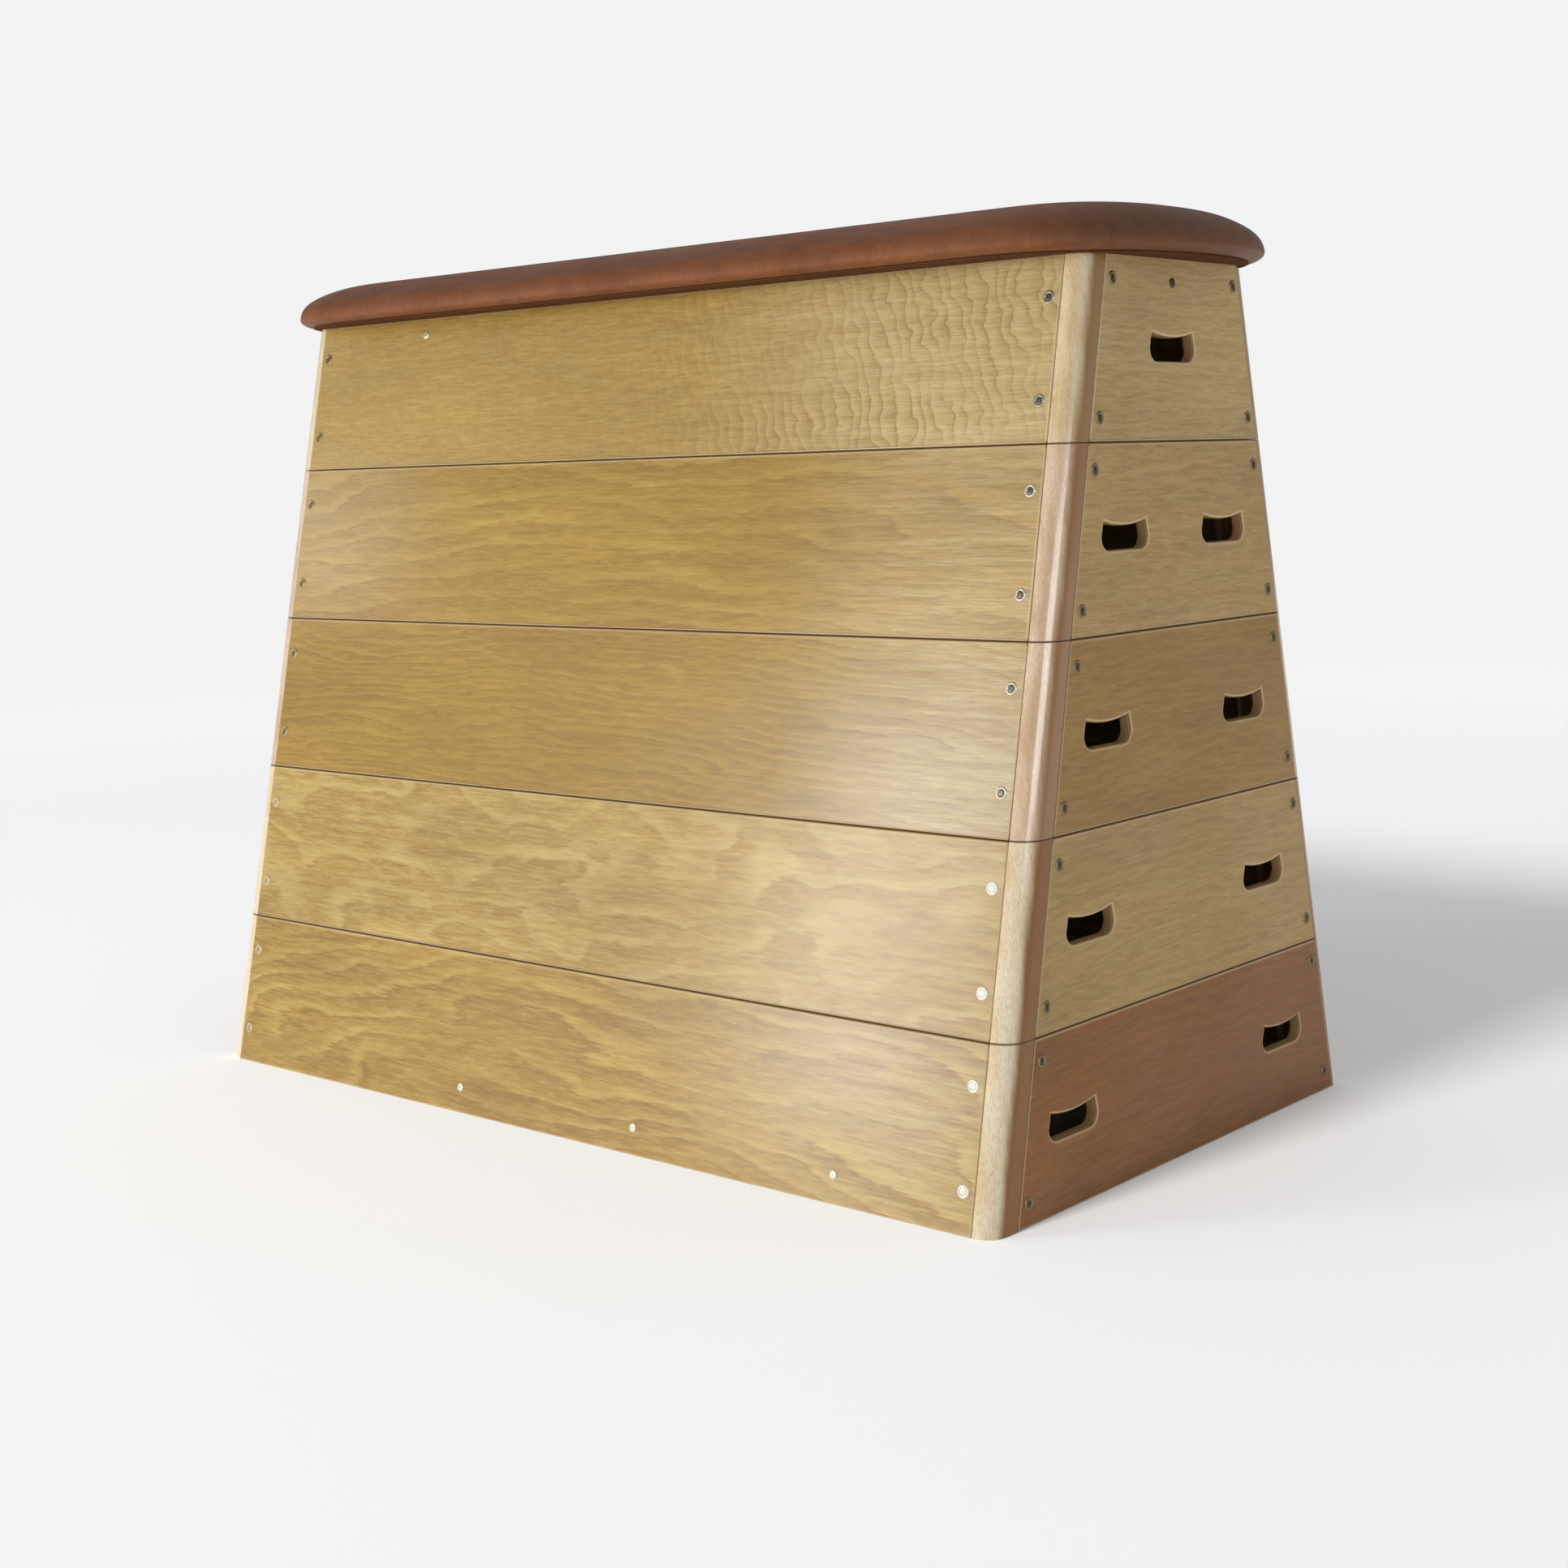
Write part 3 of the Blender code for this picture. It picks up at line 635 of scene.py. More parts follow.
SIDE_FINISHES = {
    "top": plywood(
        "top_side_veneer", "AF8E46 906E2B CBB06C", "Y",
        {"Pitch": 0.052, "Wander": 0.14, "Patch": 0.036, "Stretch": 1.1, "Upright": 2.8, "Ripple": 0.014,
         "Figured_From": -0.06, "Grain": (60.0, 60.0, 150.0)},
        (0.7, 0.3, 0.3, 0.3),
        # The pale patch on the right is painted sheen.
        stains_and_sheens=[(0.75, "E0CC9E", ("X", 0.05, 0.50))],
    ),
    "upper": plywood(
        "upper_side_veneer", "A98630 89631F C8A958", "Y",
        {"Pitch": 0.030, "Wander": 0.10, "Patch": 0.08, "Stretch": 4.0, "Arch": 0.10, "Arch_Centre": -0.1,
         "Ripple": 0.018},
        (0.36, 0.28, 0.27, 0.45),
        # The pale patches on the left and on the right are painted sheen.
        stains_and_sheens=[(0.35, "C4A982", ("X", -0.28, -0.60)), (0.8, "D6BF94", ("X", 0.22, 0.58))],
    ),
    "middle": plywood(
        "middle_side_veneer", "A7842D 89631F C6A650", "Y",
        {"Pitch": 0.012, "Wander": 0.12, "Patch": 0.09, "Stretch": 5.0, "Arch": 0.06, "Arch_Centre": -0.25,
         "Ripple": 0.010},
        (0.45, 0.22, 0.24, 0.45),
        # The reddish band is the veneer's own colour; the pale patch on the right is painted sheen.
        stains_and_sheens=[(0.35, "8A5A2E", ("X", -0.42, -0.25), ("Z", 0.535, 0.62), ("X", 0.25, 0.05)),
                (0.6, "E4D6B0", ("X", 0.28, 0.58))],
    ),
    "lower": plywood(
        "lower_side_veneer", "BA9A4C 98742E D6BE7E", "Y",
        {"Pitch": 0.064, "Wander": 0.30, "Patch": 0.10, "Stretch": 2.2, "Ripple": 0.030},
        (0.56, 0.34, 0.34, 0.75),
    ),
    "bottom": plywood(
        "bottom_side_veneer", "B7933F 8E6622 D1B567", "Y",
        {"Pitch": 0.034, "Wander": 0.20, "Patch": 0.12, "Stretch": 3.2, "Arch": 0.25, "Arch_Centre": 0.05,
         "Ripple": 0.022},
        (0.66, 0.36, 0.34, 0.65),
        # The pale patch on the right is painted sheen.
        stains_and_sheens=[(0.5, "D6C8A0", ("X", 0.20, 0.60))],
    ),
}
END_COLOURS = {
    "top": "BEA166 A88A52 CCB27C",
    "upper": "B9975B A17E45 C6A86F",
    "middle": "A47D39 8E682C B28D49",
    "lower": "B59455 9F7D44 C2A46A",
    "bottom": "8E5819 784710 9C6626",
}
END_FIGURE = {"Pitch": 0.014, "Wander": 0.06, "Patch": 0.07, "Stretch": 3.0, "Arch": 0.2, "Ripple": 0.012}
END_FINISHES = {
    section: plywood(f"{section}_end_veneer", colours, "X", END_FIGURE, (0.38, 0.3, 0.6, 0.6), 0.12)
    for section, colours in END_COLOURS.items()
}
PALE_POST = solid_wood("pale_beech", "EEDAB2", "DCC08E", "9A7236")
# Near white with a thin coat: a painted sheen on the lower posts, over the beech's own pale colour.
CREAM_POST = solid_wood("cream_beech", "FAE8C8", "EAD0A4", "8E5C20", coat=0.4)
ROSY_POST = solid_wood("rosy_beech", "ECD2B2", "D4AE88", "9A6A34")
POST_FINISHES = {
    "top": PALE_POST,
    "upper": ROSY_POST,
    "middle": ROSY_POST,
    "lower": CREAM_POST,
    "bottom": CREAM_POST,
}
LEATHER = leatherette()
BACKING = woven_backing()
PLAIN_STEEL = plated_steel("plain_screw", "E0D6BE", "F0E2C0", 0.30, 0.75)
# Copies of plated steel, lit and shaded by paint: darker ones for the end boards, near white ones for the
# lower sections, and grey heads with pale washers for the sections above.
SHADE_PAINTED_STEEL = plated_steel("shade_painted_screw", "5A4C3A", "5A4C3A", 0.4)
SHADE_PAINTED_WASHER_STEEL = plated_steel("shade_painted_washer", "8C7C5E", "8C7C5E", 0.4)
GREY_STEEL = plated_steel("grey_screw", "6E685E", "8E7850", 0.3)
GREY_WASHER_STEEL = plated_steel("grey_washer", "B4AC9C", "B09A68", 0.35)
PLAIN_WASHER_STEEL = plated_steel("plain_washer", "DAD2C2", "B8A478", 0.30, 0.8)
SHEEN_PAINTED_STEEL = plated_steel("sheen_painted_screw", "F4F0E6", "C8B080", 0.30, 0.4)
SHEEN_PAINTED_WASHER_STEEL = plated_steel("sheen_painted_washer", "FAF8F2", "D0BC92", 0.35, 0.3)
# Dark brown wire: painted shade under the pad, so the staples show no glints.
STAPLE_STEEL = plated_steel("staple_wire", "4C4238", "4C4238", 0.6)
PINE_ACROSS = softwood("pine_across", "CFAE7B", "B48850", "Y")
HIDDEN_FINISHES = {
    "floor_batten": softwood("pine_along", "D2B280", "B88C55", "X"),
    "pad_bearer": PINE_ACROSS,
    "pad_cleat": PINE_ACROSS,
    "pad_board": softwood("pad_board_birch", "D6BC90", "C29E68", "X"),
    "pad_screw": PLAIN_STEEL,
}


# Screws

# A round piece starts from its foot, and each step goes inwards by a width and up by a rise
SCREW_SIDES = 24
HEAD_FOOT, HEAD_STEPS = 0.0010, ((0.0005, 0.0004), (0.0010, 0.0003), (0.0016, 0.0001))
SUNK_RADIUS, SUNK_FOOT, SUNK_STEPS = 0.0041, 0.0014, ((0.0004, 0.0003), (0.0014, 0.0001))
WASHER_FOOT = 0.0004
WASHER_STEPS = (
    (0.0005, 0.0007),
    (0.0006, 0.0004),
    (0.0007, 0.0001),
    (0.0006, -0.0001),
    (0.0006, -0.0004),
    (0.0005, -0.0007),
)
SHANK_RADIUS, SHANK_POINT, SHANK_FROM, SHANK_SHORTER = 0.0022, 0.004, 0.0004, 0.002
CROSS_ARM, CROSS_TAPER, CROSS_TOP = 0.24, 0.0005, 0.004


def round_profile(name, radius, height):
    deselect()
    bpy.ops.mesh.primitive_cylinder_add(vertices=SCREW_SIDES, radius=radius, depth=height)
    return added(name)


def raise_rings(obj, steps):
    """Insets the top face again and again, each time by a width and then up by a rise."""
    edit(obj)
    top = max(point.co.z for point in obj.data.vertices)
    pick_points(obj, lambda p: p.z > top - ON_FACE)
    for width, rise in steps:
        bpy.ops.mesh.inset(thickness=width)
        bpy.ops.transform.translate(value=(0, 0, rise))
    leave_edit()


def cut_cross(head, floor, reach):
    """Cuts the driver's cross into a screw's head, each arm narrowing as it goes down."""
    thin = reach * CROSS_ARM
    for half_x, half_y in ((reach, thin), (thin, reach)):
        bar = block("recess", (-half_x, -half_y, floor), (half_x, half_y, CROSS_TOP))
        edit(bar)
        for axis, half in enumerate((half_x, half_y)):
            for sign in (-1, 1):
                pull = Vector((0, 0, 0))
                pull[axis] = -sign * min(half / 2, CROSS_TAPER)
                shift_points(bar, lambda p: p.z < CROSS_TOP / 2 and p[axis] * sign > 0, pull)
        leave_edit()
        cut(head, bar)


def model_screw(name, shank=0.0):
    """A plain round head with a broken edge and a cross recess; its face is at z = 0."""
    head = round_profile(name, HEAD_RADIUS, HEAD_FOOT)
    raise_rings(head, HEAD_STEPS)
    cut_cross(head, 0.0001, 0.0021)
    if shank:
        rod = round_profile("shank", SHANK_RADIUS, shank)
        edit(rod)
        shift_points(rod, lambda p: True, (0, 0, -shank / 2 - SHANK_FROM))
        pick_points(rod, lambda p: p.z < -shank / 2)
        bpy.ops.mesh.extrude_region_move(TRANSFORM_OT_translate={"value": (0, 0, 0)})
        bpy.ops.transform.translate(value=(0, 0, SHANK_POINT))
        leave_edit()
        head = joined(name, [head, rod])
    finish_shading(head, 35)
    return head


def model_sunk_screw(name):
    """The flat head that sits in a cup washer."""
    head = round_profile(name, SUNK_RADIUS, SUNK_FOOT)
    raise_rings(head, SUNK_STEPS)
    cut_cross(head, -0.0004, 0.0020)
    finish_shading(head, 35)
    return head


def model_washer(name):
    """A cup washer: a thin foot, a rounded crown and a cone down to the screw."""
    washer = round_profile(name, WASHER_RADIUS, WASHER_FOOT)
    raise_rings(washer, WASHER_STEPS)
    finish_shading(washer, 50)
    return washer


SCREW = model_screw("screw_pattern")
SUNK_SCREW = model_sunk_screw("sunk_screw_pattern")
WASHER = model_washer("washer_pattern")


def aimed(direction, point=ORIGIN):
    """A place at a point, with Z along a direction."""
    return Matrix.Translation(point) @ Vector(direction).to_track_quat("Z", "Y").to_matrix().to_4x4()


def facing(point, direction, turn=0.0):
    """The place of a screw on a face, its cross turned as the driver left it."""
    return aimed(direction, point) @ Matrix.Rotation(turn, 4, "Z")


def side_place(x, z, sign):
    return Vector((x, sign * half_width(z), z)), Vector((0, sign * math.cos(SIDE_LEAN), math.sin(SIDE_LEAN)))


def end_place(y, z, sign):
    return Vector((sign * half_length(z), y, z)), Vector((sign * math.cos(END_LEAN), 0, math.sin(END_LEAN)))


def set_out(name, pattern, places, finish, body):
    """Copies a pattern to each place on a face, as one piece."""
    copies = [
        copied(pattern, f"{name}_{i}", facing(point, direction, 0.7 * i))
        for i, (point, direction) in enumerate(places)
    ]
    dressed(joined(name, copies), finish, "screw_steel", body)


def drive_screws(board, places, body):
    """Screws in cup washers at a board's corners."""
    # The steel is chosen by place as painted light: darker on the end boards (painted shade), near white on
    # the lower two sections (painted reflection), grey heads above (a painted dark reflection).
    if "end" in board:
        washer, screw = SHADE_PAINTED_WASHER_STEEL, SHADE_PAINTED_STEEL
    elif body in ("lower_section", "bottom_section"):
        washer, screw = SHEEN_PAINTED_WASHER_STEEL, SHEEN_PAINTED_STEEL
    elif body in ("middle_section", "upper_section"):
        washer, screw = PLAIN_WASHER_STEEL, GREY_STEEL
    else:
        washer, screw = GREY_WASHER_STEEL, GREY_STEEL
    set_out(f"{board}_washers", WASHER, places, washer, body)
    set_out(f"{board}_screws", SUNK_SCREW, places, screw, body)


# Panels

HOLE_CUT, LOW_ROUND_STEPS, SAG_STEPS = 0.03, 10, 12
NEAR_RIM, CLEAR_OF_RIM = 0.002, 0.008


def side_depth(p):
    return (half_width(p.z) - abs(p.y)) * math.cos(SIDE_LEAN)


def end_depth(p):
    return (half_length(p.z) - abs(p.x)) * math.cos(END_LEAN)


def shape_side_panel(name, foot, head, sign):
    face, back = half_width(foot), half_width(foot) - SIDE_THROUGH
    low, high = sorted((sign * face, sign * back))
    edge = side_edge(foot)
    panel = block(name, (-edge, low, foot), (edge, high, head))
    edit(panel)
    top = (foot + head) / 2
    shift_points(panel, lambda p: p.z > top, (0, sign * (half_width(head) - face), 0))
    draw_in = side_edge(head) - edge
    for end in (-1, 1):
        shift_points(panel, lambda p: p.z > top and p.x * end > 0, (end * draw_in, 0, 0))
    leave_edit()
    edit(panel)
    bevel_edges(panel, lambda p: side_depth(p) < ON_FACE, ARRIS, 4)
    leave_edit()
    break_edges(panel, INNER_ARRIS, 1, 60)
    return panel


def runs_through(line):
    return abs(line.verts[0].co.x - line.verts[1].co.x) > HOLE_CUT


def model_hand_hole():
    """The cutter for a hand hole: round lower corners, and a top edge that sags."""
    half, tall = HOLE_WIDTH / 2, HOLE_HEIGHT / 2
    reach = half - HOLE_LEAN
    cutter = block("hand_hole_pattern", (-HOLE_CUT, -half, -tall), (HOLE_CUT, half, tall))
    edit(cutter)
    bevel_edges(cutter, lambda p: p.z < 0, HOLE_LOW_ROUND, LOW_ROUND_STEPS, runs_through)
    for sign in (-1, 1):
        shift_points(cutter, lambda p: p.z > tall - 0.001 and p.y * sign > 0, (0, -sign * HOLE_LEAN, 0))
    pick_edges(cutter, lambda p: p.z > tall - 0.001, lambda line: not runs_through(line))
    bpy.ops.mesh.subdivide(number_cuts=SAG_STEPS - 1)
    for i in range(1, SAG_STEPS):
        y = reach * (1 - 2 * i / SAG_STEPS)
        sag = -HOLE_SAG * (1 - (y / reach) ** 2)
        shift_points(cutter, lambda p: p.z > tall - HOLE_SAG - 1e-4 and abs(p.y - y) < 1e-4, (0, 0, sag))
    leave_edit()
    return cutter


HAND_HOLE = model_hand_hole()


def hand_hole_spots(section, middle):
    if section == "top":
        return (0.0,)
    across = end_edge(middle, True) - HOLE_FROM_PANEL_EDGE
    return (-across, across)


def shape_end_panel(name, section, low, high, foot, head, sign):
    face, back = half_length(foot), half_length(foot) - END_THROUGH
    near, far = sorted((sign * face, sign * back))

    def start(z):
        return -end_edge(z, wide=sign > 0)

    def stop(z):
        return end_edge(z, wide=sign < 0)

    panel = block(name, (near, start(foot), foot), (far, stop(foot), head))
    edit(panel)
    top = (foot + head) / 2
    shift_points(panel, lambda p: p.z > top, (sign * (half_length(head) - face), 0, 0))
    shift_points(panel, lambda p: p.z > top and p.y < 0, (0, start(head) - start(foot), 0))
    shift_points(panel, lambda p: p.z > top and p.y > 0, (0, stop(head) - stop(foot), 0))
    leave_edit()
    middle = (low + high) / 2
    centre = middle + HOLE_ABOVE_MIDDLE[section]
    spots = hand_hole_spots(section, middle)
    for y in spots:
        hole = copied(HAND_HOLE, "hand_hole", Matrix.Translation((sign * half_length(centre), y, centre)))
        cut(panel, hole)

    def by_hole(p, margin):
        beside = min(abs(p.y - y) for y in spots) < HOLE_WIDTH / 2 + margin
        return beside and abs(p.z - centre) < HOLE_HEIGHT / 2 + margin

    def on_rim(p):
        return by_hole(p, NEAR_RIM) and end_depth(p) < ON_FACE

    def on_inner_rim(p):
        return by_hole(p, NEAR_RIM) and end_depth(p) > PANEL - ON_FACE

    def on_outline(p):
        return end_depth(p) < ON_FACE and not by_hole(p, CLEAR_OF_RIM)

    edit(panel)
    bevel_edges(panel, on_rim, HOLE_RIM, 4, clamp_overlap=False, loop_slide=False)
    bevel_edges(panel, on_inner_rim, HOLE_INNER_RIM, 2, clamp_overlap=False, loop_slide=False)
    leave_edit()
    edit(panel)
    bevel_edges(panel, on_outline, ARRIS, 4)
    leave_edit()
    return panel, start, stop


def merged_copy(node, name):
    """A copy of a CAD node with its loose triangles merged and its flat faces made whole."""
    piece = copied(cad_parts[node], name)
    edit(piece)
    bpy.ops.mesh.select_all(action="SELECT")
    bpy.ops.mesh.remove_doubles(threshold=1e-5)
    bpy.ops.mesh.dissolve_limited(angle_limit=math.radians(1))
    leave_edit()
    return piece


def build_section(section, low, high):
    body = f"{section}_section"
    foot, head = (low + GAP / 2 if low > 0 else low), high - GAP / 2
    middle = (low + high) / 2
    for word, sign in (("front", -1), ("back", 1)):
        name = f"{section}_side_board_{word}"
        board = shape_side_panel(name, foot, head, sign)
        finish_shading(board)
        dressed(board, SIDE_FINISHES[section], "side_plywood", body, f"{section}_side_panel_{word}")
        places = [
            side_place(end * (side_edge(z) - SCREW_FROM_EDGE), z, sign)
            for end in (-1, 1)
            for z in (middle - SIDE_SCREW_SPREAD / 2, middle + SIDE_SCREW_SPREAD / 2)
        ]
        drive_screws(name, places, body)
        if section == "bottom":
            places = [
                side_place(-sign * (BATTEN_SCREW_CENTRE + i * BATTEN_SCREW_PITCH), BATTEN_SCREW_HEIGHT, sign)
                for i in (-1, 0, 1)
            ]
            set_out(f"batten_screws_{word}", SCREW, places, PLAIN_STEEL, body)
    end_slot = "bottom_end_plywood" if section == "bottom" else "end_plywood"
    for word, sign in (("left", -1), ("right", 1)):
        name = f"{section}_end_board_{word}"
        board, start, stop = shape_end_panel(name, section, low, high, foot, head, sign)
        finish_shading(board)
        dressed(board, END_FINISHES[section], end_slot, body, f"{section}_end_panel_{word}")
        places = [
            end_place(edge(z) - side * SCREW_FROM_EDGE, z, sign)
            for side, edge in ((-1, start), (1, stop))
            for z in (middle - END_SCREW_SPREAD / 2, middle + END_SCREW_SPREAD / 2)
        ]
        drive_screws(name, places, body)
    for word in ("front_left", "front_right", "back_left", "back_right"):
        post = merged_copy(f"{section}_corner_post_{word}", f"{section}_rounded_post_{word}")
        break_edges(post, POST_ARRIS, 2, 50)
        finish_shading(post, 45)
        dressed(post, POST_FINISHES[section], "corner_post", body, f"{section}_corner_post_{word}")


def build_pad_fixings():
    """The screws that hold the bearers and cleats, and the finish of the hidden timber."""
    for kind, length, turn, finish in (
        ("bearer", BEARER_SCREW_LENGTH, 0.4, PLAIN_STEEL),
        # The cleat screws sit on the end boards and take the darker, shade-painted steel.
        ("cleat", CLEAT_SCREW_LENGTH, 1.1, SHADE_PAINTED_STEEL),
    ):
        pattern = model_screw("fixing_pattern", length - SHANK_SHORTER)
        for word, sign in (("left", -1), ("right", 1)):
            if kind == "bearer":
                place = side_place(sign * BEARER_AT, STACK - BEARER_SCREW_BELOW_TOP, sign)
            else:
                place = end_place(0, STACK - CLEAT_SCREW_BELOW_TOP, sign)
            screw = copied(pattern, f"{kind}_fixing_{word}", facing(*place, turn))
            dressed(screw, finish, "screw_steel", "top_section", f"{kind}_screw_{word}")
        removed(pattern)
    for node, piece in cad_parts.items():
        for start, finish in HIDDEN_FINISHES.items():
            if node.startswith(start):
                piece.material_slots[0].material = finish


# The pad

CORNER_POINTS, STRAIGHT_POINTS = 18, 27
ROLL_RINGS, DOME_RINGS, DOME_TURN = 9, 22, 86
SLACK = 0.0015
HELD_BELOW, FREE_ABOVE = 0.003, 0.015
FOAM_PRESSURE, COVER_WEIGHT, SWELLING_STEPS = 2, 0.3, 20
HEM_FOLD, STAPLE_PITCH = 0.004, 0.045


def plan_ring(round_x, round_y, z):
    """A ring of points around the pad's plan, even along its straight sides."""
    core_x = TOP_LENGTH / 2 + PAD_OVER_END - PAD_CORNER_LENGTH
    core_y = PAD_END_STRAIGHT / 2
    quarter = []
    for i in range(CORNER_POINTS + 1):
        turn = math.pi / 2 * i / CORNER_POINTS
        x = core_x + round_x * max(math.cos(turn), 0.0) ** (2 / PAD_PLAN_POWER)
        y = core_y + round_y * math.sin(turn) ** (2 / PAD_PLAN_POWER)
        quarter.append((x, y))
    quarter += [(core_x * (1 - i / STRAIGHT_POINTS), core_y + round_y) for i in range(1, STRAIGHT_POINTS)]
    back = quarter + [(0.0, core_y + round_y)] + [(-x, y) for x, y in reversed(quarter)]
    return [Vector((x, y, z)) for x, y in back] + [Vector((x, -y, z)) for x, y in reversed(back)]


def pad_ring(inset, z):
    corner_width = TOP_WIDTH / 2 + PAD_OVER_SIDE - PAD_END_STRAIGHT / 2
    return plan_ring(PAD_CORNER_LENGTH - inset, corner_width - inset, z)


def cushion_rings():
    """Rings from the hollow for the board, round the roll and over the dome."""
    underside = STACK + GAP
    hollow = BOARD_INSET - 0.001
    rings = [pad_ring(hollow, STACK + 2 * GAP + BOARD), pad_ring(hollow, underside)]
    drop = STACK + PAD_RIM - underside
    for i in range(ROLL_RINGS):
        turn = math.pi / 2 * i / ROLL_RINGS
        inset = SLACK + PAD_ROLL * (1 - math.sin(turn))
        rings.append(pad_ring(inset, underside + drop * (1 - math.cos(turn))))
    corner_width = TOP_WIDTH / 2 + PAD_OVER_SIDE - PAD_END_STRAIGHT / 2 - SLACK
    for i in range(DOME_RINGS + 1):
        rise = math.radians(DOME_TURN) * i / DOME_RINGS
        share = math.cos(rise) ** (2 / PAD_DOME_POWER)
        lift = math.sin(rise) ** (2 / PAD_DOME_POWER)
        z = STACK + PAD_RIM + (PAD_CROWN - PAD_RIM - SLACK) * lift
        rings.append(plan_ring((PAD_CORNER_LENGTH - SLACK) * share, corner_width * share, z))
    return rings


def sewn(name, rings, closed_ends=True):
    """A mesh through rings of points; each end is closed by strips across the pad."""
    shape = bmesh.new()
    rows = [[shape.verts.new(point) for point in ring] for ring in rings]
    count = len(rows[0])
    for low, high in zip(rows, rows[1:] if closed_ends else rows[1:] + rows[:1]):
        for i in range(count):
            after = (i + 1) % count
            shape.faces.new((low[i], low[after], high[after], high[i]))
    if closed_ends:
        for row in (rows[0], rows[-1]):
            for i in range(count // 2 - 1):
                shape.faces.new((row[i], row[i + 1], row[count - 2 - i], row[count - 1 - i]))
    bmesh.ops.recalc_face_normals(shape, faces=shape.faces)
    mesh = bpy.data.meshes.new(name)
    shape.to_mesh(mesh)
    shape.free()
    return new_object(name, mesh)


def fill_with_foam(cushion):
    """Lets the stuffing press the cover out by the slack, while its foot stays on the board."""
    rest = [point.co.copy() for point in cushion.data.vertices]
    held = cushion.vertex_groups.new(name="held")
    for i, point in enumerate(rest):
        free = (point.z - STACK - HELD_BELOW) / (FREE_ABOVE - HELD_BELOW)
        held.add([i], 1 - min(max(free, 0.0), 1.0), "REPLACE")
    pick_up(cushion)
    cloth = cushion.modifiers.new("Cloth", "CLOTH")
    cloth.settings.effector_weights.gravity = 0
    cloth.settings.use_pressure = True
    cloth.settings.uniform_pressure_force = FOAM_PRESSURE
    cloth.settings.vertex_group_mass = "held"
    cloth.settings.mass = COVER_WEIGHT
    scene = bpy.context.scene
    for step in range(1, SWELLING_STEPS + 1):
        scene.frame_set(step)
    swollen = cushion.evaluated_get(bpy.context.evaluated_depsgraph_get()).data
    moved = [point.co - start for point, start in zip(swollen.vertices, rest)]
    cushion.modifiers.remove(cloth)
    scene.frame_set(1)
    for point, start, by in zip(cushion.data.vertices, rest, moved):
        point.co = start + by * min(1.0, SLACK / max(by.length, 1e-9))


def build_pad():
    cushion = sewn("pad_cushion", cushion_rings())
    fill_with_foam(cushion)
    pick_up(cushion)
    upper = cushion.vertex_groups.new(name="upper")
    upper.add([p.index for p in cushion.data.vertices if p.co.z > STACK + 0.004], 1.0, "REPLACE")
    apply_modifier(cushion, "SMOOTH", factor=0.5, iterations=4, vertex_group="upper")
    apply_modifier(cushion, "SUBSURF", levels=1, render_levels=1)
    finish_shading(cushion, 60)
    dressed(cushion, LEATHER, "leatherette", "top_section", "pad_cover", "pad_foam")


def hem_ring(z):
    """Inner edge of the cover's hem, beside the top section's footprint."""
    radius = POST_ROUND_SIDE + HEM_FROM_SECTION
    core_x = half_length(STACK) + HEM_FROM_SECTION - radius
    core_y = half_width(STACK) + HEM_FROM_SECTION - radius
    ring = []
    for point in pad_ring(PAD_ROLL, z):
        core = Vector((max(-core_x, min(core_x, point.x)), max(-core_y, min(core_y, point.y)), z))
        ring.append(core + (point - core).normalized() * radius)
    return ring


def build_hem():
    """The cover's turned-under edge, stapled to the board's underside."""
    low, high = STACK - COVER, STACK
    fold = PAD_ROLL - HEM_FOLD
    hem = sewn(
        "pad_hem",
        [hem_ring(low), pad_ring(PAD_ROLL, low), pad_ring(fold, low + 0.0006), pad_ring(fold, high),
         pad_ring(PAD_ROLL, high), hem_ring(high)],
        closed_ends=False,
    )
    finish_shading(hem, 30)
    dressed(hem, BACKING, "leatherette", "top_section")
    staple = block("staple_pattern", (-0.005, -0.0006, -0.0007), (0.005, 0.0006, 0.0003))
    edit(staple)
    bevel_edges(staple, lambda p: p.z < 0, 0.0003, 2)
    leave_edit()
    ring = [(a + b) / 2 for a, b in zip(hem_ring(low), pad_ring(PAD_ROLL, low))]
    staples, walked = [], 0.0
    for i, (here, after) in enumerate(zip(ring, ring[1:] + ring[:1])):
        walked += (after - here).length
        if walked > STAPLE_PITCH:
            walked = 0.0
            skew = 0.12 * math.sin(5.0 * i)
            heading = math.atan2(after.y - here.y, after.x - here.x) + skew
            place = Matrix.Translation(here) @ Matrix.Rotation(heading, 4, "Z")
            staples.append(copied(staple, f"staple_{i}", place))
    removed(staple)
    strip = joined("pad_staples", staples)
    finish_shading(strip, 35)
    dressed(strip, STAPLE_STEEL, "screw_steel", "top_section")


# The studio

BACKDROP = (0.896, 0.896, 0.896, 1)
FADE_FROM, FADE_TO = 3.0, 7.0
AMBIENT = 0.46

# Each distant lamp's direction, power and angle
DISTANT_LAMPS = (
    ("front_light", (-0.66, -0.745, 0.09), 1.36, 20),
    ("floor_light", (-0.09, -0.80, 0.50), 2.44, 12),
)

# Each window's place, what it faces, its size and its power
WINDOWS = (
    ("low_window", (-2.0, -3.45, 0.82), (0.45, -0.33, 0.3), (0.55, 1.35), 32),
    ("left_window", (-3.78, -2.41, 1.62), (-0.6, -0.23, 0.73), (0.5, 0.4), 3),
    ("right_window", (4.27, -2.9, 1.62), (0.66, -0.33, 0.6), (2.4, 1.1), 60),
)

# The photograph's view, found from the box's seams and corners: yaw, pitch and roll in degrees
CAMERA_PLACE = (2.0376, -2.2441, 0.8130)
CAMERA_TURNS = (41.313, 7.891, -1.730)
CAMERA_LENS, CAMERA_SENSOR = 52.05, 36


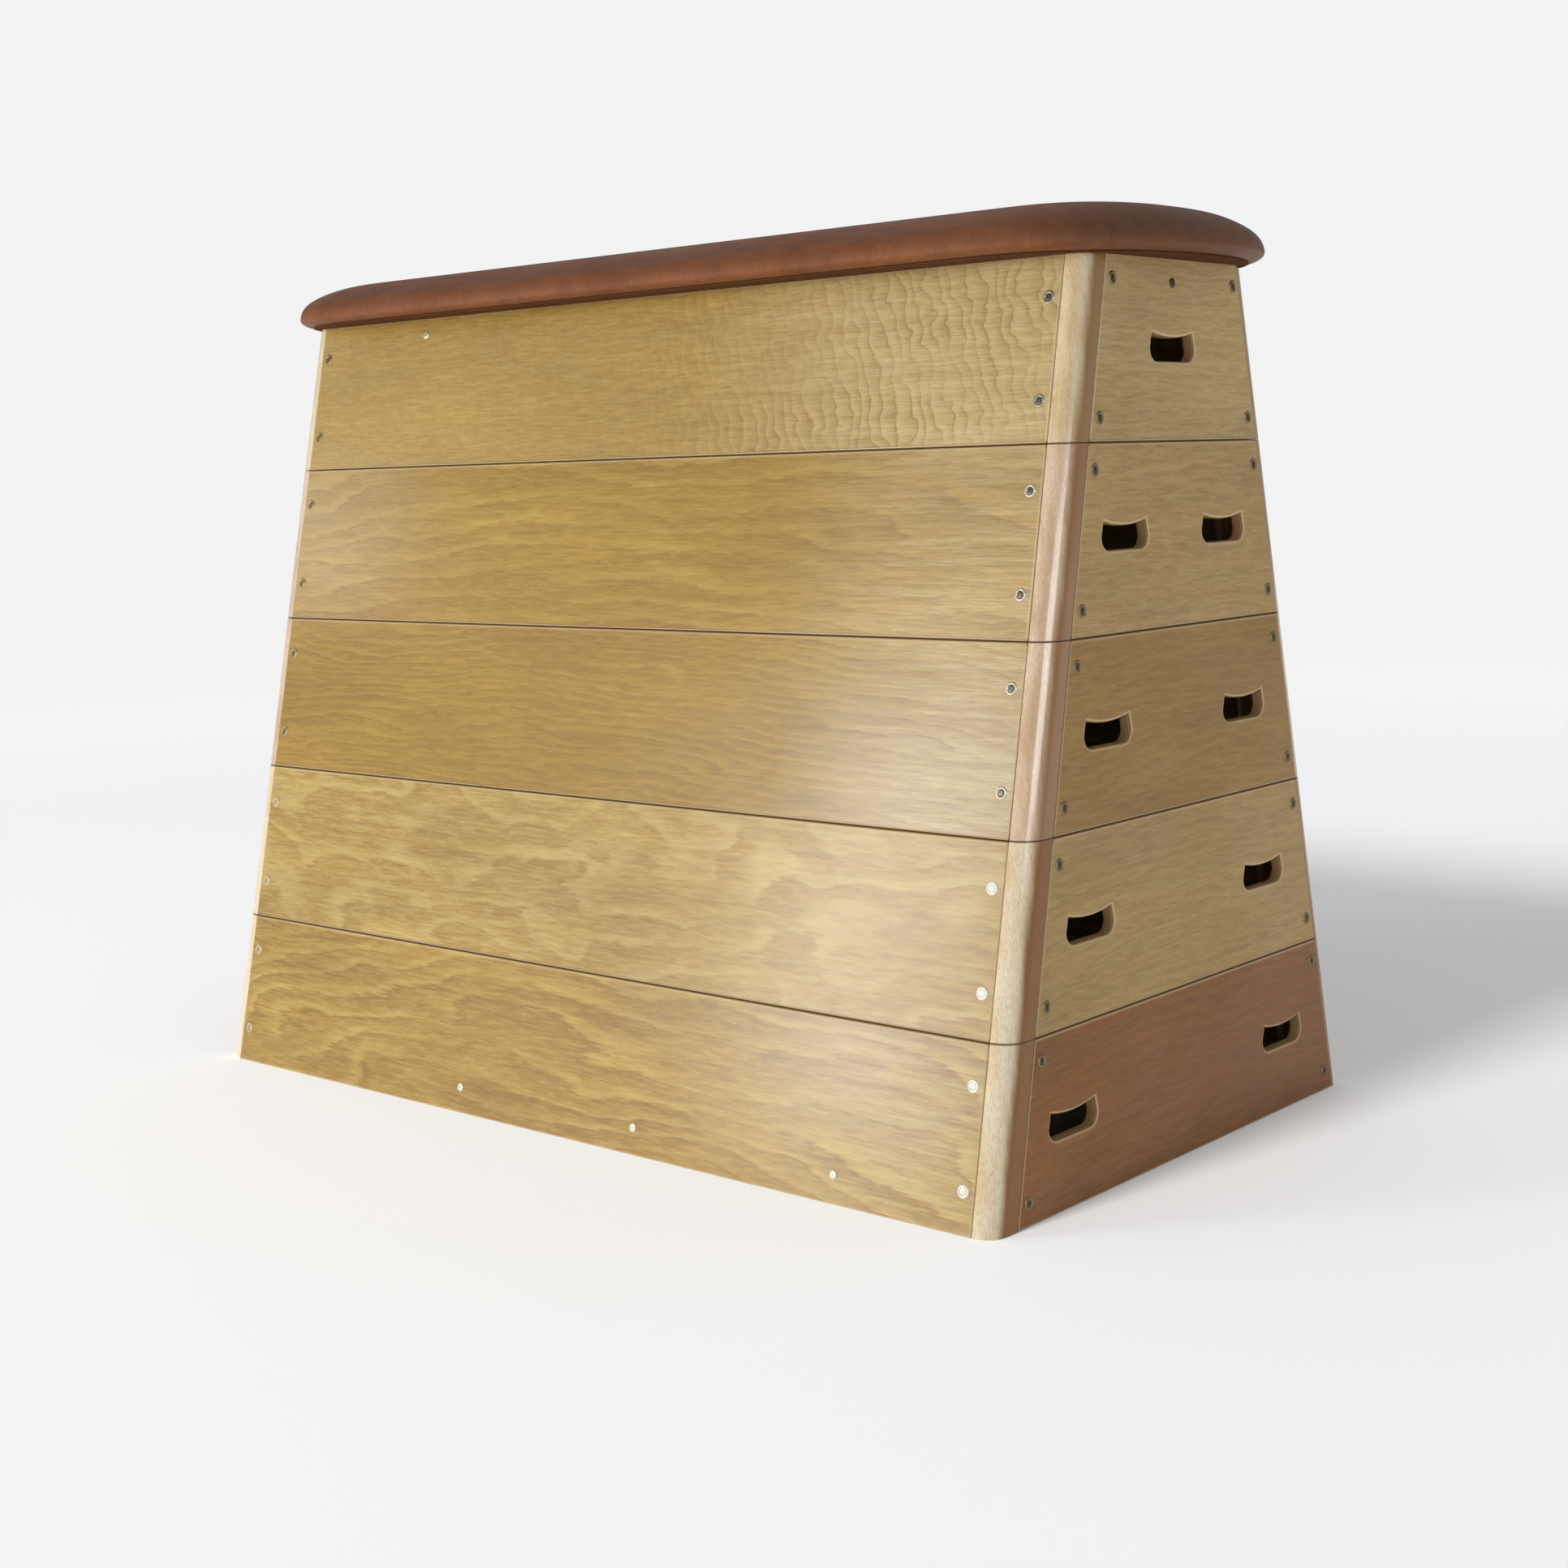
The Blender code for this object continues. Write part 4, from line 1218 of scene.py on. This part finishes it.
def build_floor():
    """A pale floor that glows into the backdrop far out, but not under the box."""
    deselect()
    bpy.ops.mesh.primitive_plane_add(size=60)
    floor = added("studio_floor")
    made, n, shader = new_finish(
        "pale_floor", Base_Color=(0.94, 0.94, 0.94, 1), Roughness=0.95, Specular_IOR_Level=0.0
    )
    place = n.place()
    away = n.add("ShaderNodeVectorMath", {0: place}, operation="LENGTH").outputs["Value"]
    rays = n.add("ShaderNodeLightPath").outputs
    seen = n.larger(rays["Is Camera Ray"], n.larger(rays["Is Glossy Ray"], rays["Is Transmission Ray"]))
    colour = n.mix(n.spread(away, FADE_FROM, FADE_TO), (1, 1, 1, 1), BACKDROP)
    glow = n.add("ShaderNodeEmission", {"Color": colour, "Strength": 1.0}).outputs[0]
    at = n.axes(place)
    beyond_end = n.math("GREATER_THAN", n.size(at["X"]), FLOOR_LENGTH / 2 - PANEL)
    beyond_side = n.math("GREATER_THAN", n.size(at["Y"]), FLOOR_WIDTH / 2 - PANEL)
    share = n.times(n.spread(away, FADE_FROM, FADE_TO, 0.13, 1.0), seen)
    share = n.times(share, n.larger(beyond_end, beyond_side))
    blend = n.add("ShaderNodeMixShader", {0: share, 1: shader.outputs[0], 2: glow}).outputs[0]
    n.wire(made.node_tree.nodes["Material Output"].inputs, Surface=blend)
    floor.data.materials.append(made)
    return floor


def build_world():
    """An even sky at the ambient level, which a camera sees as the backdrop."""
    world = bpy.data.worlds.new("studio")
    bpy.context.scene.world = world
    world.use_nodes = True
    n = Nodes(world.node_tree)
    n.tree.nodes.clear()
    rays = n.add("ShaderNodeLightPath").outputs
    seen = n.larger(rays["Is Camera Ray"], rays["Is Transmission Ray"])
    colour = n.mix(seen, (0.95, 0.97, 1.0, 1), BACKDROP)
    strength = n.times(seen, 1.0 - AMBIENT, plus=AMBIENT)
    background = n.add("ShaderNodeBackground", {"Color": colour, "Strength": strength}).outputs[0]
    n.wire(n.add("ShaderNodeOutputWorld").inputs, Surface=background)


def hung_lamp(name, kind, power, direction, place=ORIGIN):
    """A lamp that shines from a direction."""
    lamp = bpy.data.lights.new(name, kind)
    lamp.energy = power
    holder = new_object(name, lamp)
    holder.matrix_world = aimed(direction, place)
    return lamp, holder


def hang_lamps(floor):
    for name, direction, power, angle in DISTANT_LAMPS:
        lamp, holder = hung_lamp(name, "SUN", power, direction)
        lamp.angle = math.radians(angle)
        holder.visible_glossy = False  # its disc would show in the varnish
        if name == "floor_light":
            lit = bpy.data.collections.new("lit_by_floor_light")
            lit.objects.link(floor)
            holder.light_linking.receiver_collection = lit
    for name, place, target, size, power in WINDOWS:
        lamp, holder = hung_lamp(name, "AREA", power, Vector(place) - Vector(target), place)
        lamp.shape = "RECTANGLE"
        lamp.size, lamp.size_y = size
        holder.visible_diffuse = name != "right_window"  # that one is there for the posts' sheen


def build_camera():
    yaw, pitch, roll = (math.radians(turn) for turn in CAMERA_TURNS)
    back = Vector((math.sin(yaw) * math.cos(pitch), -math.cos(yaw) * math.cos(pitch), math.sin(pitch)))
    right = Vector((math.cos(yaw), math.sin(yaw), 0))
    up = back.cross(right)
    across = math.cos(roll) * right + math.sin(roll) * up
    upward = math.cos(roll) * up - math.sin(roll) * right
    camera = bpy.data.cameras.new("photo_view")
    camera.lens, camera.sensor_width = CAMERA_LENS, CAMERA_SENSOR
    holder = new_object("photo_view", camera)
    turn = Matrix((across, upward, back)).transposed().to_4x4()
    holder.matrix_world = Matrix.Translation(CAMERA_PLACE) @ turn
    bpy.context.scene.camera = holder


floor_level = 0.0
for section_name, section_height in SECTION_HEIGHTS.items():
    build_section(section_name, floor_level, floor_level + section_height)
    floor_level += section_height
removed(SCREW, SUNK_SCREW, WASHER, HAND_HOLE)
build_pad_fixings()
build_pad()
build_hem()
hang_lamps(build_floor())
build_world()
build_camera()
bpy.context.scene.view_settings.view_transform = "Standard"
